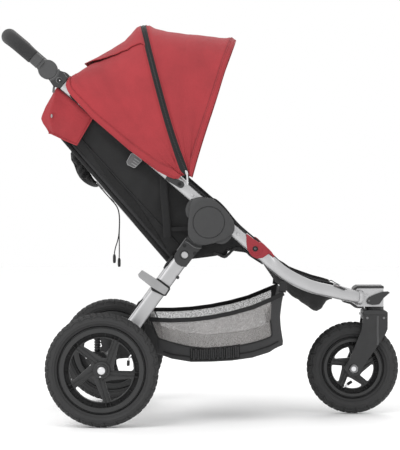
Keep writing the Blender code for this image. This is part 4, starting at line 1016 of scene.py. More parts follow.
def hood_arch(angle, count, lift=0.0):
    """Evenly spaced points over the hood at one angle, from the right foot to the left."""
    stations = np.array(HOOD_STATIONS)
    height = between(angle, stations[:, 0], stations[:, 1]) + lift
    power = between(angle, stations[:, 0], stations[:, 2])
    half = HOOD_HALF + lift
    foot = between(angle, (69.0, ZIP_ANGLE, 120.0, 138.0), (0.023, 0.014, 0.012, 0.010))
    first = math.asin((foot / height) ** (power / 2.0))
    flat = []
    for step in range(241):
        t = first + (math.pi - 2.0 * first) * step / 240.0
        reach = height * math.sin(t) ** (2.0 / power)
        y = -math.copysign(abs(math.cos(t)) ** (2.0 / power), math.cos(t)) * half
        flat.append((reach, y, 0.0))
    along = direction(angle)
    points = []
    for reach, y, _ in resample(flat, count):
        wall = max(0.0, min(1.0, (abs(y) / half - 0.70) / 0.25))
        wall = wall * wall * (3.0 - 2.0 * wall)
        x, z = offset(HOOD, along, reach, -hood_shift(angle, reach) * wall)
        points.append(Vector((x, y, z)))
    return points


def hood_wrinkle(angle, point, reach_share):
    """Soft folds that run out from the hood's feet, and slack between the bows."""
    side = min(1.0, abs(point.y) / HOOD_HALF)
    fan = math.sin(angle * 0.55 + 2.0 * noise.noise(point * 6.0)) * 0.0012
    slack = noise.noise(point * 9.0 + Vector((3.0, 1.0, 7.0))) * 0.0020
    gather = math.sin(angle * 1.7 + point.y * 20.0) * 0.0016 * max(0.0, 1.0 - reach_share * 3.0)
    return fan * side * (1.0 - reach_share) + slack + gather


def hood_grid(angles, count):
    """Grid over part of the hood; wrinkles move points along the surface normal."""
    grid = [hood_arch(angle, count) for angle in angles]
    place = as_array(grid)
    normal = np.cross(np.gradient(place, axis=0), np.gradient(place, axis=1))
    normal /= np.maximum(np.linalg.norm(normal, axis=2, keepdims=True), 1e-9)
    middle = np.array((HOOD[0], 0.0, HOOD[1]))
    inward = np.sum(normal * (place - middle), axis=2) < 0.0
    normal[inward] *= -1.0
    moved = []
    for r, row in enumerate(grid):
        line = []
        for c, point in enumerate(row):
            reach = (Vector((point.x - HOOD[0], 0.0, point.z - HOOD[1]))).length / 0.42
            edge = (min(r, len(grid) - 1 - r) / 5.0) ** 1.5
            push = hood_wrinkle(angles[r], point, reach) * min(1.0, edge)
            line.append(point + Vector(normal[r, c]) * push)
        moved.append(line)
    return moved


def fold_with_hood(piece):
    """Bake the piece's transform into its mesh; the cloth is not bent."""
    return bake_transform(piece)


def hood_strip(base, low, high, lift, rows=4, count=121):
    """Grid of constant width along the line at one angle; widths run to the rear."""
    spread = np.linspace(-14.0, 14.0, 29)
    spread = spread[(base + spread >= 69.0) & (base + spread <= 138.0)]
    fans = as_array(hood_arch(base + turn, count, lift) for turn in spread)
    middle = hood_arch(base, count, lift)
    grid = []
    for row in range(rows):
        wide = low + (high - low) * row / (rows - 1)
        line = []
        for k, point in enumerate(middle):
            reach = math.hypot(point.x - HOOD[0], point.z - HOOD[1])
            turn = math.degrees(wide / max(reach, 0.035))
            line.append(Vector([np.interp(turn, spread, fans[:, k, axis]) for axis in range(3)]))
        grid.append(line)
    return grid


def angles_between(first, last, count):
    return [first + (last - first) * i / (count - 1) for i in range(count)]


front_cloth = sheet("hood_front_cloth", hood_grid(angles_between(69.0, 103.2, 40), 97), red_cloth, None)
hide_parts("hood_front_panel")
rear_cloth = sheet("hood_rear_cloth", hood_grid(angles_between(104.2, 138.0, 36), 97), red_cloth, None)
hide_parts("hood_rear_panel")
for cover in (front_cloth, rear_cloth):
    fold_with_hood(cover)

zip_band = sheet("hood_zip_band", hood_strip(103.7, -0.0076, 0.0076, 0.0026), band_cloth, None, 0.0010)
fold_with_hood(zip_band)
zip_teeth = Mesh()
for point, after in zip(*[iter(resample(hood_arch(103.75, 121, 0.0036), 560))] * 2):
    along = (after - point).normalized()
    wide = Vector((0.97, 0.0, 0.236)) * 0.0021
    out = along.cross(wide).normalized() * 0.0007
    ring = [point + wide + out, point - wide + out, point - wide - out, point + wide - out]
    zip_teeth.skin([ring, [p + along * 0.0022 for p in ring]])
zip_teeth = zip_teeth.make("hood_zip_teeth", dark_shell, None)
fold_with_hood(zip_teeth)

strips = {"front_hem": (69.1, 0.0, 0.0125), "rear_hem": (138.0, -0.0125, 0.0),
    "zip_front": (103.7, -0.0102, -0.0072), "zip_rear": (103.7, 0.0072, 0.0102)}
for label, (angle, low, high) in strips.items():
    strip = sheet("hood_strip_" + label, hood_strip(angle, low, high, 0.0019), red_cloth, None)
    fold_with_hood(strip)
# Narrow darker red strip: a painted shadow line under the front hem's seam.
shadow = sheet("hood_seam_fold", hood_strip(69.1, 0.0118, 0.0142, 0.0014, 2), shadow_red_cloth, None, 0.0010)
fold_with_hood(shadow)
seams = {"front_edge": (69.1, 0.0100), "rear_edge": (138.0, -0.0108)}
for label, (angle, wide) in seams.items():
    line = hood_strip(angle, wide, wide, 0.0023, 2)[0]
    fold_with_hood(stitches("hood_stitches_" + label, line, thread_red, None, 0.0046, 0.0036, 0.0005))
for label, angle in (("front", 69.15), ("rear", 137.9)):
    piping = tube("hood_piping_" + label, hood_arch(angle, 121, 0.0004), 0.0020, 0.0020, 10, red_cloth, None)
    fold_with_hood(piping)

# Roll-up flap over the hood's rear window
flap_angles = angles_between(104.6, 129.2, 18)
flap_grid = []
for number, angle in enumerate(flap_angles):
    share = number / (len(flap_angles) - 1)
    row = [p for p in hood_arch(angle, 241, 0.0034 + 0.0070 * share ** 3.0) if abs(p.y) < 0.200 - 0.048 * share
        ** 0.7 and p.z > 0.75]
    flap_grid.append(resample(row, 61))
flap = sheet("hood_window_flap", flap_grid, red_cloth, None, 0.0022)
fold_with_hood(flap)
fold_with_hood(stitches("hood_flap_stitches", [p + Vector((0.004, 0.0, 0.003)) for p in flap_grid[-1]],
    thread_red, None))

# Zip pulls and hood joints at both feet
for label, side in SIDES.items():
    y = side * 0.2705
    slider = rounded(tenths([(-510, 6620, 20), (-440, 6590, 20), (-412, 6505, 20), (-470, 6480, 20)]), 3)
    side_plate("zip_slider_" + label, slider, side, 0.2668, 0.2705, chrome, "upper_chassis", 0.0008)
    pull = [(-0.0446, y, 0.6520), (-0.0438, side * 0.2718, 0.6420), (-0.0434, side * 0.2714, 0.6235)]
    strap("zip_pull_" + label, smooth_path(pull, 4), (1.0, 0.0, 0.0), 0.0046, 0.0016, chrome, "upper_chassis")
    first, last = Vector((-0.0937, 0.6393)), Vector((-0.0612, 0.6240))
    along = (last - first).normalized()
    turn = math.degrees(math.atan2(along.y, along.x))
    capsule = arc(first, 0.0060, turn + 95.0, turn + 265.0, 10) + arc(last, 0.0095, turn - 88.0, turn + 88.0, 14)
    joint = side_plate("hood_joint_plate_" + label, capsule, side, 0.2572, 0.2625, dark_shell, "upper_chassis",
        0.0012)
    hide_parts("hood_mount_" + label)
    screw("hood_joint_screw_" + label, (-0.0640, side * 0.2625, 0.6252), side, 0.0048, black_and_shade_shell,
        "upper_chassis", 0.0012, 0.5)


# Rear curtain below the hood

DRAPE_TOP = tenths(((-2900, 7955), (-3420, 8480), (-3780, 8780), (-3890, 8665)))
DRAPE_HEM = tenths(((-3314, 7261), (-3600, 7380), (-3850, 7500), (-4021, 7579)))
DRAPE_BULGE_Z = (0.7579, 0.7701, 0.7836, 0.7957, 0.8052, 0.8240, 0.8443, 0.8690)
DRAPE_BULGE = (0.0, 0.0090, 0.0195, 0.0255, 0.0255, 0.0215, 0.0130, 0.0020)


def drape_rail(line, share):
    at = share * (len(line) - 1)
    first = min(int(at), len(line) - 2)
    a, b = Vector(line[first]), Vector(line[first + 1])
    return a.lerp(b, at - first)


DRAPE_CORNER = 0.62  # share of the half width that hangs behind, before the cloth turns forwards


def drape_point(u, v):
    """u runs from the right front edge round the back to the left one, v from the top down."""
    side = -1.0 if u < 0.5 else 1.0
    run = abs(u - 0.5) * 2.0
    if run > DRAPE_CORNER:
        share = 1.0 - (run - DRAPE_CORNER) / (1.0 - DRAPE_CORNER)
        half = 0.2300 - 0.0045 * v - 0.020 * max(0.0, share - 0.80) / 0.20
    else:
        share = 1.0
        half = 0.2100 * run / DRAPE_CORNER
    top, hem = drape_rail(DRAPE_TOP, share), drape_rail(DRAPE_HEM, share)
    x, z = top.lerp(hem, v)
    bulge = between(z, DRAPE_BULGE_Z, DRAPE_BULGE) * share ** 3.0
    if run <= DRAPE_CORNER:
        sag = math.cos(run / DRAPE_CORNER * math.pi / 2.0)
        bulge *= 1.0 - 0.22 * sag
        z -= 0.010 * sag * (1.0 - v)
    place = Vector((x - bulge, side * half, z))
    fold = 0.0040 * math.sin(u * 46.0 + 1.5 * math.sin(v * 5.0)) * (0.3 + 0.7 * v)
    fold += 0.0055 * noise.noise(place * 20.0)
    fold += 0.0105 * math.exp(-((place.x * 0.678 + place.z * 0.735 - 0.3800) / 0.0075) ** 2) * (1.0 - 0.5 * v)
    near_edge = min(1.0, (1.0 - abs(2.0 * u - 1.0)) * 10.0)
    if run > DRAPE_CORNER:
        place.y += side * fold * 0.55 * near_edge
    else:
        place.x -= fold * 0.8
    return place


drape_grid = [[drape_point(u / 120.0, v / 26.0) for u in range(121)] for v in range(27)]
drape = sheet("rear_curtain", drape_grid, red_cloth, "upper_chassis")
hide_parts("back_drape")
hem_line = [drape_point(u / 120.0, 0.955) + Vector((0.0,
    (-1 if u < 60 else 1) * 0.0012 if not 22 < u < 98 else 0.0, 0.0)) for u in range(121)]
stitches("curtain_hem_stitches", hem_line, thread_red, "upper_chassis")
tube("curtain_hem_piping", [drape_point(u / 120.0, 0.998) for u in range(121)], 0.0019, 0.0019, 10, red_cloth,
    "upper_chassis")
for label, side in SIDES.items():
    edge = 0.0 if side < 0 else 1.0
    rail = [drape_point(edge, v / 20.0) for v in range(21)]
    tube("curtain_edge_" + label, rail, 0.0018, 0.0018, 10, red_cloth, "upper_chassis")
    snap = [(-0.3958 + 0.0024 * direction(20.0 * k)[0], 0.8016 + 0.0050 * direction(20.0 * k)[1]) for k in range(18)]
    side_plate("curtain_snap_" + label, snap, side, 0.2290, 0.2335, grey_shell, "upper_chassis", 0.0008)
    strap("curtain_strap_" + label, on_side(side, [(-3880, 2335, 8830), (-3900, 2345, 8720),
        (-3912, 2335, 8620)]), (1.0, 0.0, 0.0), 0.0060, 0.0016, mid_shell, "upper_chassis")
for label, side in SIDES.items():
    wedge = tenths([(-3482, 8540), (-3400, 8555), (-3215, 8345), (-3271, 8325), (-3390, 8420)])
    side_plate("hood_hem_shadow_band_" + label, wedge, side, 0.2560, 0.2580, band_cloth, "upper_chassis", 0.0)
rail_strap = [Vector((-0.3900 + 0.030 * k, 0.0, 0.8900 - 0.0262 * k)) for k in range(5)]
for label, side in SIDES.items():
    strap("curtain_top_band_" + label, [p + Vector((0.0, side * 0.2320, 0.0)) for p in rail_strap],
        (0.6, 0.0, 0.8), 0.0090, 0.0020, webbing, "upper_chassis")


# Seat

WALL_UP = (0.0, 0.090, 0.150, 0.220, 0.395)
WALL_HALF = (0.2000, 0.2005, 0.2160, 0.2215, 0.2215)
BACK_HALF = (0.1800, 0.1840, 0.1880, 0.1900, 0.1800)
BACK_LONG = 0.395
WING_LONG = 0.425
WING_TIP, WING_SLOPE = 0.2026, 0.149  # reach of the side cloth at the foot, and what it loses upwards


def wing_point(up, share, side):
    """Side cloth of the seat back, from its rear edge to above the frame tube."""
    tip = WING_TIP - WING_SLOPE * up
    back = between(up, WALL_UP, BACK_HALF)
    wall = between(up, WALL_UP, WALL_HALF)
    half = back + (wall - back) * min(1.0, share / 0.55) ** 0.7
    x, z = on_back(up, 0.004 + (tip - 0.004) * share)
    place = Vector((x, side * half, z))
    fold = 0.0042 * noise.noise(Vector((x * 13.0 + z * 9.0, side, (z - x) * 26.0)))
    fold += 0.0030 * math.sin((x * 0.6 + z) * 44.0 + 1.2 * side + 3.0 * noise.noise(Vector((x * 9.0, z * 9.0, side))))
    calm = min(1.0, share * 5.0) * min(1.0, (1.0 - share) * 4.0)
    place.y -= side * abs(fold) * calm
    return place


TUBE_LINE = placed(on_back(0.0, WING_TIP), 0.0)
TUBE_WAY = (placed(on_back(BACK_LONG, WING_TIP - WING_SLOPE * BACK_LONG), 0.0) - TUBE_LINE).normalized()
TO_BACK = placed(on_back(0.0, 0.0), 0.0) - TUBE_LINE
TO_BACK = (TO_BACK - TUBE_WAY * TO_BACK.dot(TUBE_WAY)).normalized()


def fan_with_back(piece):
    """Bake the piece's transform into its mesh; the cloth is not tied to the frame tube or the seat back."""
    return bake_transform(piece)


for label, side in SIDES.items():
    fanned = []
    grid = [[wing_point(up / 40.0 * WING_LONG, share / 24.0, side) for share in range(25)] for up in range(41)]
    wing = sheet("seat_side_cloth_" + label, grid, black_cloth, None)
    fanned.append(wing)
    rear = [wing_point(up / 40.0 * WING_LONG, 0.0, side) + Vector((-0.003, 0.0, -0.002)) for up in range(41)]
    tube("seat_back_frame_" + label, rear, 0.0060, 0.0060, 14, band_cloth, "backrest")
    for number, (share, size) in enumerate(((0.045, 0.0042), (0.232, 0.0018))):
        seam = [wing_point(up / 60.0 * BACK_LONG, share, side) + Vector((0.0, side * 0.0008, 0.0))
            for up in range(61)]
        fanned.append(tube("seat_side_piping_%d_%s" % (number, label), seam, size, 0.0020, 10,
            band_cloth if number else pad_cloth, None))
    # A near-black strip lying on the side cloth paints the shade of the channel by the seat back's rear edge.
    recess = []
    for step in range(61):
        up = 0.030 + 0.345 * step / 60.0
        middle = between(up, (0.03, 0.08, 0.17, 0.25, 0.375), (0.0160, 0.0205, 0.0285, 0.0275, 0.0370))
        half = 0.0020 + 0.0078 * math.sin(math.pi * step / 60.0) ** 0.8
        recess.append([wing_point(up, (middle + half * (k / 3.0 - 1.0) - 0.004) / (0.1986 - 0.149 * up), side) +
            Vector((0.0, side * 0.0012, 0.0)) for k in range(7)])
    fanned.append(sheet("seat_side_recess_" + label, recess, seam_and_shade_black, None, 0.0008))
    # Thin light metal rail along the seat back's rear edge, standing in for the highlight line there.
    shine = [wing_point(0.130 + 0.175 * up / 40.0, 0.0, side) + Vector((-0.0068, side * 0.002, -0.0046))
        for up in range(41)]
    tube("seat_back_rail_" + label, shine, 0.0016, 0.0016, 12, leg_metal, "backrest")
    top = [wing_point(up / 60.0 * BACK_LONG, 0.995, side) for up in range(61)]
    fanned.append(tube("seat_side_edge_" + label, top, 0.0022, 0.0022, 8, band_cloth, None))

    buckle = rounded(tenths([(-1849, 7048, 30), (-1612, 6867, 30), (-1812, 6667, 50), (-1990, 6757, 30),
        (-2010, 6830, 30), (-1903, 7030, 30)]), 5)
    side_plate("seat_buckle_" + label, buckle, side, 0.2225, 0.2290, mid_shell, "upper_chassis", 0.0018)
    # The lighter grey rim paints the highlights on the buckle's edges.
    rim = [Vector((x, side * 0.2290, z)) for x, z in buckle + buckle[:1]]
    tube("seat_buckle_rim_" + label, rim, 0.0011, 0.0011, 8, grey_shell, "upper_chassis")
    for number in range(3):
        low = Vector((-0.1890 + 0.0040 * number, 0.6800 + 0.0058 * number))
        rib = [(low.x, side * 0.2295, low.y), (low.x + 0.0120, side * 0.2295, low.y - 0.0082)]
        tube("seat_buckle_rib_%d_%s" % (number, label), rib, 0.0012, 0.0012, 8, grey_shell, "upper_chassis")
    web = on_side(side, [(-1060, 2235, 6560), (-1050, 2215, 6000), (-1000, 2120, 5450), (-960, 2060, 4860)])
    fanned.append(strap("seat_side_strap_" + label, smooth_path(web, 6), (1.0, 0.0, 0.0), 0.0200, 0.0018,
        band_cloth, None))
    band = on_side(side, [(-1000, 2040, 5080), (-700, 2040, 5070), (-420, 2040, 5090)])
    fanned.append(strap("seat_side_band_" + label, smooth_path(band, 4), (0.0, 0.0, 1.0), 0.0110, 0.0018,
        band_cloth, None))
    for piece in fanned:
        fan_with_back(piece)


def puff(name, outline_rings, surface, body, cap, channels):
    """Padded piece: a loft, swelled by cloth pressure, then pressed in along its sewn channels."""
    piece = Mesh().skin(outline_rings).make(name, surface, None, 180.0)
    modify(piece, "REMESH", mode="VOXEL", voxel_size=0.0055)
    bake(piece)
    rest = np.array([tuple(v.co) for v in piece.data.vertices])
    cloth_modifier = piece.modifiers.new("cloth", "CLOTH")
    cloth_modifier.settings.use_pressure = True
    cloth_modifier.settings.uniform_pressure_force = 4.0
    cloth_modifier.settings.effector_weights.gravity = 0.0
    cloth_modifier.settings.quality = 4
    cloth_modifier.point_cache.frame_start = 1
    cloth_modifier.point_cache.frame_end = 20
    for number in range(1, 21):
        bpy.context.scene.frame_set(number)
    bake(piece)
    bpy.context.scene.frame_set(1)
    now = np.array([tuple(v.co) for v in piece.data.vertices])
    move = now - rest
    size = np.linalg.norm(move, axis=1, keepdims=True)
    now = rest + move * np.minimum(1.0, cap / np.maximum(size, 1e-9))
    for vertex, place in zip(piece.data.vertices, now):
        vertex.co = place
    modify(piece, "SMOOTH", factor=0.5, iterations=2)
    modify(piece, "SUBSURF", levels=1, render_levels=1)
    bake(piece)
    normals = [vertex.normal.copy() for vertex in piece.data.vertices]
    for vertex, normal in zip(piece.data.vertices, normals):
        vertex.co -= normal * channels(vertex.co)
    piece.data.shade_smooth()
    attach(piece, body)
    return piece


def groove(distance, depth, width):
    return depth * math.exp(-(distance / width) ** 2)


def in_back(place):
    """Distances up and forward of the seat back's rear face."""
    dx, dz = place[0] - BACK_FOOT[0], place[2] - BACK_FOOT[1]
    return dx * BACK_UP[0] + dz * BACK_UP[1], dx * BACK_UP[1] - dz * BACK_UP[0]


def back_channels(place):
    up, forward = in_back(place)
    total = 0.0
    for line in (0.110, 0.200, 0.290):
        total += groove(up - line - 0.10 * abs(place.y) ** 1.5, 0.0060, 0.0045)
    total += groove(abs(place.y) - 0.118, 0.0060, 0.0045)
    return total if forward > 0.012 else 0.0


def base_channels(place):
    total = groove(place.x - 0.015, 0.0055, 0.0045) + groove(place.x - 0.085, 0.0055, 0.0045)
    total += groove(abs(place.y) - 0.125, 0.0055, 0.0045)
    return total if place.z > 0.452 else 0.0


pad_rings = []
for up in (0.012, 0.020, 0.100, 0.200, 0.300, 0.378, 0.388):
    width = 0.165 if 0.015 < up < 0.38 else 0.150
    low, high = (0.007, 0.034) if 0.015 < up < 0.38 else (0.012, 0.028)
    outline = [(-width, 0.5), (-width + 0.012, 1.0), (0.0, 1.0), (width - 0.012, 1.0), (width, 0.5),
        (width - 0.012, 0.0), (0.0, 0.0), (-width + 0.012, 0.0)]
    ring = []
    for y, share in outline:
        x, z = on_back(up, low + (high - low) * share)
        ring.append((x, y, z))
    pad_rings.append(ring)
back_pad = puff("seat_back_pad", pad_rings, pad_cloth, "backrest", 0.009, back_channels)
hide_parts("seat_back")

base_rings = []
for y, low, high in ((-0.180, 0.55, 0.45), (-0.172, 0.0, 0.85), (-0.09, 0.0, 1.0), (0.0, 0.0, 1.0),
        (0.09, 0.0, 1.0), (0.172, 0.0, 0.85), (0.180, 0.55, 0.45)):
    lower = tenths([(-500, 4340), (200, 4440), (520, 4500), (700, 4570), (1070, 4520), (1500, 4380)])
    upper = tenths([(1520, 4420), (1150, 4600), (450, 4690), (-200, 4620), (-480, 4480)])
    middle = 0.448
    ring = [(x, y, z + (middle - z) * (1.0 - high) * 0.5) for x, z in lower]
    ring += [(x, y, middle + (z - middle) * high) for x, z in upper]
    base_rings.append(ring)
base_pad = puff("seat_base_pad", base_rings, pad_cloth, "front_chassis", 0.008, base_channels)
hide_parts("seat_base")

back_cover = [[placed(on_back(up / 20.0 * BACK_LONG, 0.001 - 0.003 * math.sin(math.pi * y / 24.0)),
    -0.182 + 0.364 * y / 24.0) for y in range(25)] for up in range(21)]
sheet("seat_back_cover", back_cover, black_cloth, "backrest")

BASE_LOW = tenths(((-880, 4262), (-500, 4290), (-224, 4318), (318, 4392), (440, 4450), (590, 4540), (700, 4560),
    (840, 4550), (991, 4510), (1143, 4445), (1243, 4350), (1540, 4160)))
BASE_HIGH = tenths(((-830, 4330), (-350, 4740), (-50, 5100), (200, 5700), (290, 5835), (514, 5650), (837, 5260),
    (1120, 4985), (1570, 4600)))
for label, side in SIDES.items():
    low = resample(smooth_path(at_depth(BASE_LOW, 0.0), 6), 61)
    high = resample(smooth_path(at_depth(BASE_HIGH, 0.0), 6), 61)
    grid = []
    for a, b in zip(low, high):
        line = []
        for step in range(13):
            place = a.lerp(b, step / 12.0)
            place.y = side * (0.1985 + 0.0016 * noise.noise(place * 30.0))
            line.append(place)
        grid.append(line)
    sheet("seat_side_panel_" + label, grid, black_cloth, "front_chassis")
    rim_line = [Vector((p.x, side * 0.1985, p.z)) for p in high]
    tube("seat_panel_edge_" + label, rim_line, 0.0022, 0.0022, 8, band_cloth, "front_chassis")
    loop = tenths([(240, 4440), (330, 4420), (430, 4378), (530, 4350), (620, 4400), (690, 4470), (760, 4535),
        (850, 4570), (980, 4555)])
    strap("seat_loop_strap_" + label, smooth_path(at_depth(loop, side * 0.1900), 4), (0.0, 1.0, 0.0), 0.0240,
        0.0062, webbing, "front_chassis")
    patch = rounded(tenths([(356, 4398, 30), (433, 4332, 30), (530, 4303, 40), (607, 4332, 30), (641, 4388, 30),
        (602, 4430, 20), (628, 4506, 20), (541, 4500, 30), (412, 4440, 30)]), 4)
    side_plate("seat_loop_patch_" + label, patch, side, 0.1880, 0.1920, black_cloth, "front_chassis", 0.0014)

under = smooth_path(at_depth(BASE_LOW, 0.0), 4)
grid = []
for place in under:
    grid.append([Vector((place.x, -0.198 + 0.396 * k / 20.0,
        place.z - 0.003 * math.sin(math.pi * k / 20.0) + 0.001 * math.sin(k * 1.9))) for k in range(21)])
sheet("seat_underside", grid, black_cloth, "front_chassis")

# Gathered strap and flap behind the seat back, with the buckle the cords come from
FLAP_OUTER = tenths(((-3825, 7451), (-3680, 7260), (-3610, 7181), (-3599, 6977), (-3574, 6865), (-3484, 6775),
    (-3441, 6571), (-3400, 6440), (-3337, 6367), (-3247, 6391), (-3067, 6301), (-2960, 6270)))
FLAP_INNER = tenths(((-3560, 7280), (-3520, 7170), (-3470, 7110), (-3430, 7020), (-3330, 6910), (-3240, 6800),
    (-3150, 6700), (-3100, 6600), (-3080, 6520), (-3040, 6440), (-2970, 6350), (-2890, 6300)))
outer_line = resample(at_depth(FLAP_OUTER, 0.0), 44)
inner_line = resample(at_depth(FLAP_INNER, 0.0), 44)
rings = []
for number, (a, b) in enumerate(zip(outer_line, inner_line)):
    ring = []
    half = 0.026 - 0.017 * max(0.0, number / 43.0 - 0.62) / 0.38
    for step in range(28):
        c, s = direction(360.0 * step / 28.0)
        point = (a + b) / 2.0 + (a - b) / 2.0 * (math.copysign(abs(c) ** 0.8, c))
        pleat = 1.0 + 0.20 * math.sin(number * 1.15 + 2.2 * math.sin(step * 0.45)) + 0.25 * noise.noise(point * 60.0)
        ring.append(Vector((point.x, half * math.copysign(abs(s) ** 0.8, s) * pleat, point.z)))
    rings.append(ring)
Mesh().skin(rings).make("recline_gathered_flap", black_cloth, "backrest", 180.0)
twist = []
path = smooth_path(at_depth(tenths(((-3500, 7000), (-3380, 6760), (-3270, 6560), (-3130, 6400), (-2960, 6280),
    (-2830, 6230))), 0.0), 8)
for number, point in enumerate(path):
    along = (path[min(number + 1, len(path) - 1)] - path[max(number - 1, 0)]).normalized()
    turn = 2.6 * number / (len(path) - 1) + 0.3
    wide = Vector((0.0, 1.0, 0.0)) * math.cos(turn) + along.cross(Vector((0.0, 1.0, 0.0))) * math.sin(turn)
    thick = along.cross(wide)
    middle = point + Vector((-0.006, 0.0, -0.003))
    twist.append([middle + wide * 0.0105 * a + thick * 0.0011 * b
        for a, b in ((1.0, 0.0), (0.9, 1.0), (-0.9, 1.0), (-1.0, 0.0), (-0.9, -1.0), (0.9, -1.0))])
Mesh().skin(twist).make("recline_twisted_web", webbing, "backrest", 60.0)
lock = rounded(tenths([(-2920, 6340, 20), (-2850, 6350, 20), (-2740, 6130, 20), (-2800, 6105, 20),
    (-2900, 6250, 30)]), 4)
plate("recline_buckle", lock, -0.0135, 0.0135, mid_shell, "backrest", 0.0014)
tail = tenths([(-2800, 0, 6180), (-2700, 0, 6080), (-2569, 0, 5940), (-2470, 0, 5790), (-2433, 0, 5718)])
strap("recline_tail_web", smooth_path(tail, 5), (0.0, 1.0, 0.0), 0.0140, 0.0022, webbing, "backrest",
    taper=[1.0] * 12 + [0.95, 0.9, 0.85, 0.8, 0.75, 0.7, 0.65, 0.6, 0.6])

# Harness
for label, side in SIDES.items():
    route = tenths([(3300, 340, 500), (3150, 460, 500), (2600, 500, 520), (1800, 520, 500), (1100, 600, 360),
        (750, 740, 180)])
    path = [placed(on_back(up, forward), side * y) for up, forward, y in route]
    strap("harness_shoulder_" + label, smooth_path(path, 5), (0.0, 1.0, 0.0), 0.0250, 0.0020, webbing, "backrest")
    pad = smooth_path(path[1:4], 8)
    taper = [0.75] + [1.0] * (len(pad) - 2) + [0.75]
    tube("harness_pad_" + label, [p + Vector((0.0022, 0.0, 0.0018)) for p in pad], 0.0045, 0.0220, 20,
        pad_cloth, "backrest", power=3.0, taper=taper)
    route = tenths([(300, 440, 1500), (450, 560, 1100), (620, 720, 600), (700, 780, 180)])
    path = [placed(on_back(up, forward), side * y) for up, forward, y in route]
    strap("harness_hip_" + label, smooth_path(path, 5), (0.3, 0.0, 1.0), 0.0250, 0.0020, webbing, "backrest")
cx, cz = on_back(0.070, 0.080)
crotch = [(0.0150, 0.0, 0.4700), (0.0000, 0.0, 0.4880), (cx + 0.012, 0.0, cz - 0.012), (cx, 0.0, cz)]
strap("harness_crotch", smooth_path(crotch, 5), (0.0, 1.0, 0.0), 0.0300, 0.0022, webbing, "backrest")
rings = []
for reach, half_y, half_n in tenths(((-260, 180, 40), (-220, 240, 70), (160, 270, 80), (220, 220, 40))):
    x, z = on_back(0.070 + reach, 0.084)
    ring = []
    for step in range(20):
        c, s = direction(18.0 * step + 9.0)
        y = math.copysign(abs(c) ** 0.6, c) * half_y
        n = math.copysign(abs(s) ** 0.6, s) * half_n
        ring.append((x + BACK_UP[1] * n, y, z - BACK_UP[0] * n))
    rings.append(ring)
Mesh().skin(rings).make("harness_clasp", dark_shell, "backrest")


# Footrest sling between the front tubes

REST_X = (0.1500, 0.1700, 0.2118, 0.2254, 0.2382, 0.2560, 0.2759, 0.3010, 0.3300, 0.3480)
REST_EDGE = (0.4640, 0.4480, 0.4083, 0.4008, 0.3914, 0.3844, 0.3777, 0.3696, 0.3629, 0.3575)
LOW_X = (0.1500, 0.1641, 0.1887, 0.1960, 0.2176, 0.2369, 0.2552, 0.2658, 0.2840, 0.2944, 0.3047, 0.3178, 0.3216,
    0.3308, 0.3426, 0.3480)
REST_LOW = (0.4270, 0.4050, 0.3661, 0.3560, 0.3399, 0.3244, 0.3138, 0.3034, 0.2931, 0.2838, 0.2814, 0.2879,
    0.2955, 0.3086, 0.3138, 0.3190)
REST_HALF = (0.2270, 0.2270, 0.2045, 0.1930, 0.1820, 0.1650, 0.1460, 0.1240, 0.0970, 0.0800)
grid = []
for row in range(61):
    x = 0.1500 + 0.194 * row / 60.0
    edge, half = (between(x, REST_X, line) for line in (REST_EDGE, REST_HALF))
    low = between(x, LOW_X, REST_LOW)
    line = []
    for k in range(61):
        t = -1.0 + 2.0 * k / 60.0
        drop = 1.0 - abs(t) ** 3.2
        y = math.copysign(half * abs(t) ** 0.85, t) if t else 0.0
        z = edge + (low - edge) * drop
        z += 0.0060 * noise.noise(Vector((x * 26.0, y * 12.0, 2.0))) * min(1.0, drop * 4.0)
        line.append(Vector((x, y, z)))
    grid.append(line)
rest = sheet("footrest_cloth", grid, black_cloth, "front_chassis", 0.0020, offset_share=1.0)
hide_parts("footrest_sling")
for label, k in (("right", 0), ("left", 60)):
    edge = [row[k] for row in grid]
    tube("footrest_edge_" + label, edge, 0.0024, 0.0024, 10, band_cloth, "front_chassis")
for label, row in (("rear", grid[0]), ("front", grid[-1])):
    tube("footrest_hem_" + label, row, 0.0022, 0.0022, 8, band_cloth, "front_chassis")

for label, side in SIDES.items():
    hold = on_side(side, [(3430, 1030, 3440), (3460, 1015, 3530), (3535, 990, 3572), (3640, 930, 3515),
        (3790, 820, 3440)])
    strap("footrest_strap_" + label, smooth_path(hold, 4), (0.0, 1.0, 0.0), 0.0140, 0.0024, mid_shell,
        "front_chassis")

# Basket

BASKET_STATIONS = tenths(((-1430, -1240, 2737, 1776, 1880), (-871, -850, 2724, 1650, 2050),
    (-338, -338, 2750, 1572, 2150), (195, 195, 2818, 1580, 2180), (728, 728, 2925, 1608, 2180),
    (1261, 1261, 3071, 1680, 2140), (1742, 1720, 3273, 1815, 2050), (2060, 2050, 3420, 1985, 1900)))
basket_rows = np.array(BASKET_STATIONS)
basket_at = np.linspace(0.0, 1.0, len(BASKET_STATIONS))


BASKET_WALL = 0.46  # share of the way from the rim to the floor's middle


def basket_point(u, v, lift=0.0):
    """u from the rear to the front, v from the right rim round the floor to the left rim."""
    rim_x, floor_x, rim_z, floor_z, half = (between(u, basket_at, basket_rows[:, k]) for k in range(5))
    side = -1.0 if v < 0.5 else 1.0
    run = 1.0 - abs(v - 0.5) * 2.0
    if run < BASKET_WALL:
        drop = run / BASKET_WALL * 0.97
        width = half * (1.0 - 0.07 * drop ** 2.2)
    else:
        turn = (run - BASKET_WALL) / (1.0 - BASKET_WALL)
        drop = 0.97 + 0.03 * min(1.0, turn / 0.18) ** 0.6
        width = half * 0.93 * (1.0 - turn)
    x = rim_x + (floor_x - rim_x) * drop
    z = rim_z + (floor_z - rim_z) * drop
    sag = 0.0025 * noise.noise(Vector((x * 14.0, side * 2.0, z * 18.0)))
    width += (sag + lift) * (1.0 if run < BASKET_WALL else 0.0)
    z -= lift if run >= BASKET_WALL else 0.0
    return Vector((x + end_shift(x, z), side * width, z))


def on_wall(place, side):
    """The same place on one side wall."""
    return Vector((place.x, side * abs(place.y), place.z))


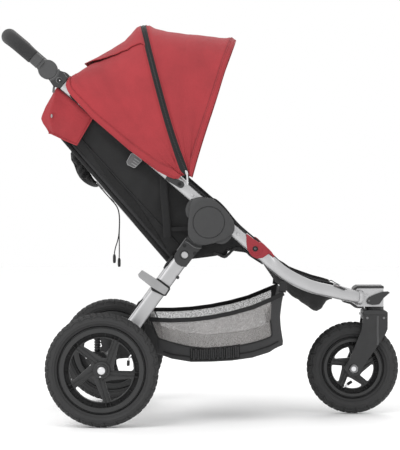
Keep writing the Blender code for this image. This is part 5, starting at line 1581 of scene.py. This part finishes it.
WINDOW = tenths(((-1383, 2900), (-1383, 2653), (-1224, 2254), (-1144, 2199), (-745, 2092), (-294, 1985),
    (300, 1975), (984, 2040), (1383, 2121), (1700, 2230), (1770, 2330), (1740, 2700), (1756, 3600)))
FAR_WINDOW = [(-0.1700, 0.2900), (-0.1700, 0.2300)] + WINDOW[2:-2] + tenths(((1790, 2700), (1900, 2850),
    (1910, 3600)))
END_Z = (0.1920, 0.2012, 0.2124, 0.2494, 0.2779, 0.3148, 0.3460)
END_X = (0.1989, 0.2060, 0.2065, 0.2005, 0.1984, 0.2026, 0.2085)


def end_shift(x, z):
    """Waist of the basket's front end."""
    share = max(0.0, (x - 0.165) / 0.040) ** 1.3
    return (between(z, END_Z, END_X) - 0.2055) * min(share, 1.0)


def inside(x, z, outline):
    found = False
    for (x1, z1), (x2, z2) in zip(outline, outline[1:] + outline[:1]):
        if (z1 > z) != (z2 > z) and x < (x2 - x1) * (z - z1) / (z2 - z1) + x1:
            found = not found
    return found


BASKET_U, BASKET_V = 150, 150
basket_grid = [[basket_point(u / BASKET_U, v / BASKET_V) for v in range(BASKET_V + 1)] for u in range(BASKET_U + 1)]
solid, netting = Mesh(), Mesh()
for part in (solid, netting):
    part.points = [tuple(p) for row in basket_grid for p in row]
for u in range(BASKET_U):
    for v in range(BASKET_V):
        corner = u * (BASKET_V + 1) + v
        face = (corner, corner + 1, corner + BASKET_V + 2, corner + BASKET_V + 1)
        run = 1.0 - abs((v + 0.5) / BASKET_V - 0.5) * 2.0
        middle = (basket_grid[u][v] + basket_grid[u + 1][v + 1]) / 2.0
        open_mesh = run < 0.47 and inside(middle.x, middle.z, WINDOW if v < BASKET_V / 2 else FAR_WINDOW)
        (netting if open_mesh else solid).faces.append(face)
for label, part, surface in (("basket_cloth", solid, basket_cloth), ("basket_netting", netting, mesh_cloth)):
    piece = part.make(label, surface, "front_chassis", 180.0)
    work = bmesh.new()
    work.from_mesh(piece.data)
    bmesh.ops.delete(work, geom=[v for v in work.verts if not v.link_faces], context="VERTS")
    work.to_mesh(piece.data)
    work.free()
    if label == "basket_cloth":
        modify(piece, "SOLIDIFY", thickness=0.0016, offset=0.0)
        bake(piece)
        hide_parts("basket")

for label, u, surface in (("rear", 0, mesh_cloth), ("front", BASKET_U, basket_cloth)):
    row = basket_grid[u]
    top = [Vector((row[0].x, row[0].y + (row[-1].y - row[0].y) * k / BASKET_V, row[0].z))
        for k in range(BASKET_V + 1)]
    steps = [[a.lerp(b, s / 12.0) for a, b in zip(top, row)] for s in range(13)]
    if u:
        for line in steps:
            for point in line:
                point.x = 0.2055 + end_shift(0.2055, point.z)
    wall = Mesh().skin(steps, loop=False, caps=False).make("basket_end_wall_" + label, surface, "front_chassis",
        180.0)
    modify(wall, "SOLIDIFY", thickness=0.0014, offset=0.0)

for label, side in SIDES.items():
    grid = []
    for k in range(61):
        u = 0.04 + 0.88 * k / 60.0
        x, rim, floor = (between(u, basket_at, basket_rows[:, n]) for n in (0, 2, 3))
        top = between(x, [p[0] for p in WINDOW[3:11]], [p[1] for p in WINDOW[3:11]])
        first = BASKET_WALL * (rim - top) / (rim - floor) / 0.97
        line = []
        for step in range(9):
            line.append(on_wall(basket_point(u, (first + (BASKET_WALL - first) * step / 8.0) / 2.0, -0.0024), side))
        grid.append(line)
    # Near-white sheet inside the wall, painting the backdrop's light through the netting.
    sheet("basket_lining_" + label, grid, netting_backdrop_light, "front_chassis", 0.0010)
    line = [on_wall(basket_point(u / 60.0, 0.205, 0.0022), side) for u in range(4, 58)]
    tube("basket_seam_" + label, line, 0.0016, 0.0016, 8, seam_and_shade_black, "front_chassis")
    # Near-black ground behind the elastic ribs paints the shade between them.
    grid = [[on_wall(basket_point(between(-0.0380 + 0.131 * k / 30.0, basket_rows[:, 0], basket_at),
        0.160 + 0.067 * step / 8.0, 0.0014), side) for step in range(9)] for k in range(31)]
    sheet("basket_elastic_ground_" + label, grid, seam_and_shade_black, "front_chassis", 0.0006)

for label, v in (("right", 0), ("left", BASKET_V)):
    side = -1.0 if v == 0 else 1.0
    rim_line = [basket_grid[u][v] + Vector((0.0, side * 0.0008, -0.0035)) for u in range(0, BASKET_U + 1, 3)]
    strap("basket_rim_band_" + label, rim_line, (0.0, 0.0, 1.0), 0.0115, 0.0032, band_cloth, "front_chassis")
    border = []
    for x, z in WINDOW[1:-1]:
        best = min((p for u in range(0, BASKET_U + 1) for p in basket_grid[u][:72]),
            key=lambda p: (p.x - x) ** 2 + (p.z - z) ** 2)
        border.append(Vector((best.x, side * (abs(best.y) + 0.0012), best.z)))
    border = smooth_path(border, 4)
    tube("basket_window_binding_" + label, border, 0.0017, 0.0017, 8, band_cloth, "front_chassis")
    elastic = Mesh()
    for step in range(22):
        x = -0.0330 + 0.121 * step / 21.0
        u = between(x, basket_rows[:, 0], basket_at)
        ring = []
        for k in range(7):
            low = 0.162 + 0.010 * abs(math.sin(step * 1.7))
            ring.append(on_wall(basket_point(u, low + 0.048 * k / 6.0, 0.0022), side))
        elastic.sweep(ring, 0.0012 + 0.0013 * abs(math.sin(step * 2.3)), 0.0034, 8)
    elastic.make("basket_elastic_" + label, pad_cloth, "front_chassis")
    pocket = tenths([(-1560, 2620), (-1470, 2600), (-1345, 2420), (-1250, 2300), (-1215, 2200), (-1235, 1790),
        (-1560, 2150)])
    side_plate("basket_rear_pocket_" + label, pocket, side, 0.1840, 0.1935, black_cloth, "front_chassis", 0.003)
    hang = on_side(side, [(2040, 1900, 3420), (2060, 1960, 3580), (2090, 2060, 3720)])
    strap("basket_front_strap_" + label, smooth_path(hang, 4), (1.0, 0.0, 0.0), 0.0200, 0.0022, webbing,
        "front_chassis")
    hang = on_side(side, [(-1430, 1880, 2730), (-1540, 1960, 2790), (-1640, 2030, 2870)])
    strap("basket_rear_strap_" + label, smooth_path(hang, 4), (0.0, 0.0, 1.0), 0.0160, 0.0022, webbing,
        "front_chassis")

# Handle grip

HANDLE_Y = 0.2465
HANDLE_BEND = 0.055


def handle_path(start):
    arm = 0.142 - HANDLE_BEND
    side_view, across = [start, arm * 0.6, arm], [HANDLE_Y] * 3
    for step in range(1, 17):
        angle = math.pi / 2.0 * step / 16.0
        side_view.append(arm + 0.0495 * math.sin(angle))
        across.append(HANDLE_Y - HANDLE_BEND * (1.0 - math.cos(angle)))
    half = [(offset(HANDLE_PIVOT, HANDLE_OUT, reach), y) for reach, y in zip(side_view, across)]
    return [(x, -y, z) for (x, z), y in half] + [(x, y, z) for (x, z), y in reversed(half)]


grip_path = handle_path(0.0515)
middle = [Vector(grip_path[18]).lerp(Vector(grip_path[19]), t) for t in (0.25, 0.5, 0.75)]
grip_path = grip_path[:19] + [tuple(p) for p in middle] + grip_path[19:]
raised, swell = [], []
for x, y, z in grip_path:
    share = max(0.0, min(1.0, (0.2460 - abs(y)) / 0.045))
    raised.append((x - 0.0002 * share, y, z + 0.0010 * share))
    swell.append(1.0 + 0.14 * share)
grip = tube("foam_grip", raised, 0.0183, 0.0183, 32, foam, "handle", taper=swell, crease=60.0)
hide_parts("handle_grip")
for label, side in SIDES.items():
    x, z = HANDLE_PIVOT
    disc = tenths([(246, 2560), (242, 2584), (228, 2591), (222, 2586), (120, 2589), (5, 2590)])
    turned("knuckle_disc_" + label, disc, side, (x, 0.0, z), 48, black_shell, "handle")
    neck = [placed(offset(HANDLE_PIVOT, HANDLE_OUT, reach), side * HANDLE_Y)
        for reach in (0.0180, 0.0225, 0.0231, 0.0258, 0.0264, 0.0310, 0.0480, 0.0530)]
    tube("grip_neck_" + label, neck, 0.0168, 0.0168, 32, black_shell, "handle",
        taper=[1.0, 1.02, 0.93, 0.93, 1.02, 1.0, 0.98, 0.98], crease=30.0)
    edge = [placed(offset(HANDLE_PIVOT, HANDLE_OUT, reach), side * HANDLE_Y)
        for reach in (0.0492, 0.0500, 0.0514, 0.0520)]
    tube("grip_seam_" + label, edge, 0.0176, 0.0176, 32, black_and_shade_shell, "handle", taper=[0.97, 1.0, 1.0, 0.97])
    low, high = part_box("handle_bracket_" + label)
    bracket_line = rounded(tenths([(-4215, 9125, 40), (-3995, 9384, 60), (-3860, 9270, 40), (-3775, 9194, 40),
        (-3638, 9145, 40), (-3535, 8985, 40), (-3560, 8907, 20), (-3638, 8809, 20), (-3716, 8729, 30),
        (-3890, 8765, 40), (-3980, 8900, 40), (-4060, 9000, 40)]), 4)
    bracket = plate("handle_bracket_plate_" + label, bracket_line, low[1], high[1], dark_shell, "upper_chassis",
        0.0016)
    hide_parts("handle_bracket_" + label)
    # The lip takes the lighter black_shell, which paints the soft highlight on the bracket's ridge.
    ridge = at_depth(arc(HANDLE_PIVOT, 0.0290, -80.0, 2.0, 16), side * 0.2584)
    tube("bracket_lip_" + label, ridge, 0.0030, 0.0012, 12, black_shell, "upper_chassis",
        taper=[0.3] + [1.0] * 15 + [0.3])
    recess = tenths([(80, 2583), (80, 2592), (70, 2594), (68, 2588), (4, 2588)])
    turned("bracket_recess_" + label, recess, side, (-0.3745, 0.0, 0.8925), 32, mid_shell, "upper_chassis")
    well = tenths([(66, 2588), (64, 2598), (4, 2598)])
    turned("bracket_well_" + label, well, side, (-0.3732, 0.0, 0.8920), 28, black_and_shade_shell, "upper_chassis")
    screw("bracket_pin_" + label, (-0.3724, side * 0.2598, 0.8916), side, 0.0019, chrome, "upper_chassis",
        0.0010, 0.0)

# Leg bracket details
for label, side in SIDES.items():
    for number, drop in enumerate((0.0, 0.0042)):
        ridge = [(x - 0.3 * drop, side * 0.2297, z - drop)
            for x, z in tenths(((-475, 4805), (-420, 4775), (-353, 4728), (-243, 4650), (-160, 4628),
            (-65, 4626)))]
        tube("bracket_ridge_%d_%s" % (number, label), smooth_path(ridge, 4), 0.0013, 0.0013, 10,
            mid_shell if number else dark_shell, "rear_legs")
    x, z = on_leg(0.1058, 0.0)
    ring = tenths([(120, 2290), (120, 2300), (105, 2300), (105, 2290)])
    turned("button_ring_" + label, ring, side, (x - 0.0015, 0.0, z), 32, black_and_shade_shell, "rear_legs", closed=True)
    for number, (x, z) in enumerate(((-0.0514, 0.4650), (-0.0249, 0.4452))):
        cup = tenths([(50, 2293), (48, 2301), (38, 2301), (36, 2297), (4, 2297)])
        turned("bracket_cup_%d_%s" % (number, label), cup, side, (x, 0.0, z), 24, black_and_shade_shell, "rear_legs")
    edge = [placed(on_leg(down, 0.0232), side * 0.2290) for down in (0.068, 0.090, 0.108)]
    tube("bracket_edge_" + label, edge, 0.0011, 0.0011, 8, mid_shell, "rear_legs")
    neck = rounded(tenths([(-520, 4660, 20), (-470, 4790, 20), (-353, 4752, 0), (-243, 4668, 0), (-93, 4636, 0),
        (-40, 4640, 20), (-150, 4500, 0), (-400, 4440, 0)]), 4)
    side_plate("bracket_neck_" + label, neck, side, 0.2100, 0.2292, dark_shell, "rear_legs", 0.0010)
    stop = [placed(on_leg(down, 0.0232), side * 0.2120) for down in (0.126, 0.140, 0.156, 0.167)]
    tube("leg_stop_" + label, stop, 0.0040, 0.0026, 14, black_and_shade_shell, "rear_legs", taper=[0.6, 1.0, 1.0, 0.5])
cable = [placed(on_leg(down, behind), -0.2150) for down, behind in
    tenths(((2620, 203), (2770, 230), (2950, 227), (3120, 222), (3350, 220)))]
tube("leg_cable_right", cable, 0.0030, 0.0030, 14, black_and_shade_shell, "rear_legs", taper=[0.25, 1.0, 0.75, 0.55, 0.50])
liner = rounded(tenths([(-1252, 3800, 30), (-1190, 3798, 30), (-890, 3575, 40), (-886, 3509, 30),
    (-1000, 3335, 40), (-1068, 3348, 30), (-1364, 3481, 40), (-1388, 3548, 30)]), 4)
side_plate("latch_liner", liner, -1.0, 0.2268, 0.2300, black_and_shade_shell, "latch", 0.0008)

# Rear mechanism, cut back to what shows between the spokes

def trimmed(name, node_name, surface, body, cuts):
    node = frame["nodes"][node_name]
    work = bmesh.new()
    work.from_mesh(node.data)
    work.transform(node.matrix_world)
    for place, normal in cuts:
        cut = bmesh.ops.bisect_plane(work, geom=work.verts[:] + work.edges[:] + work.faces[:], plane_co=place,
            plane_no=normal, clear_outer=True)
        edges = [e for e in cut["geom_cut"] if isinstance(e, bmesh.types.BMEdge)]
        bmesh.ops.triangle_fill(work, use_beauty=True, edges=edges)
    mesh = bpy.data.meshes.new(name)
    work.to_mesh(mesh)
    work.free()
    mesh.materials.append(surface.material)
    piece = linked(name, mesh)
    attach(piece, body)
    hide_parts(node_name)
    return modify(piece, "BEVEL", width=0.0010, segments=2, limit_method="ANGLE")


trimmed("pedal_plate", "brake_pedal", dark_shell, "brake", [((-0.3120, 0.0, 0.15), (-1.0, 0.0, 0.0))])
for label in SIDES:
    trimmed("swing_arm_plate_" + label, "swing_arm_" + label, dark_shell, "rear_axle",
        [((-0.2290, 0.0, 0.15), (1.0, 0.0, 0.0))])
    trimmed("suspension_plate_" + label, "suspension_housing_" + label, dark_shell, "rear_legs",
        [((-0.2300, 0.0, 0.1710), (0.297, 0.0, -0.955))])
for label, side in SIDES.items():
    low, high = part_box("suspension_spring_" + label)
    rod = []
    for step in range(49):
        z = low[2] - 0.003 + (high[2] - low[2] + 0.006) * step / 48.0
        rod.append((0.0078 + 0.0014 * math.cos(step / 48.0 * 7.0 * 2.0 * math.pi), z))
    Mesh().lathe(rod, ((low[0] + high[0]) / 2.0 - 0.0008, (low[1] + high[1]) / 2.0, 0.0), 32,
        axis="Z").make("suspension_rod_" + label, dark_shell, "rear_legs")

# The basket's pieces get meshes of their own

for piece in list(bpy.data.objects):
    if piece.name.startswith("basket_"):
        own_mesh(piece)


# Cloths and the sizes they were cut to
made = bpy.data.objects


declare(made["hood_front_cloth"])
declare(made["hood_rear_cloth"])
declare(made["hood_window_flap"])
declare(made["rear_curtain"])
declare(made["footrest_cloth"])
declare(made["seat_back_cover"])
for label in SIDES:
    declare(made["seat_side_cloth_" + label])
    declare(made["seat_side_panel_" + label])
declare(made["seat_underside"])

spans = as_array(basket_grid)
FLAT["basket_cloth"] = (float(np.linalg.norm(np.diff(spans, axis=1), axis=2).sum(axis=1).max()),
    float(np.linalg.norm(np.diff(spans, axis=0), axis=2).sum(axis=0).max()),
    float(sum(face.area for face in made["basket_cloth"].data.polygons) / 2.0))
declare(made["basket_cloth"])

low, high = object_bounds()
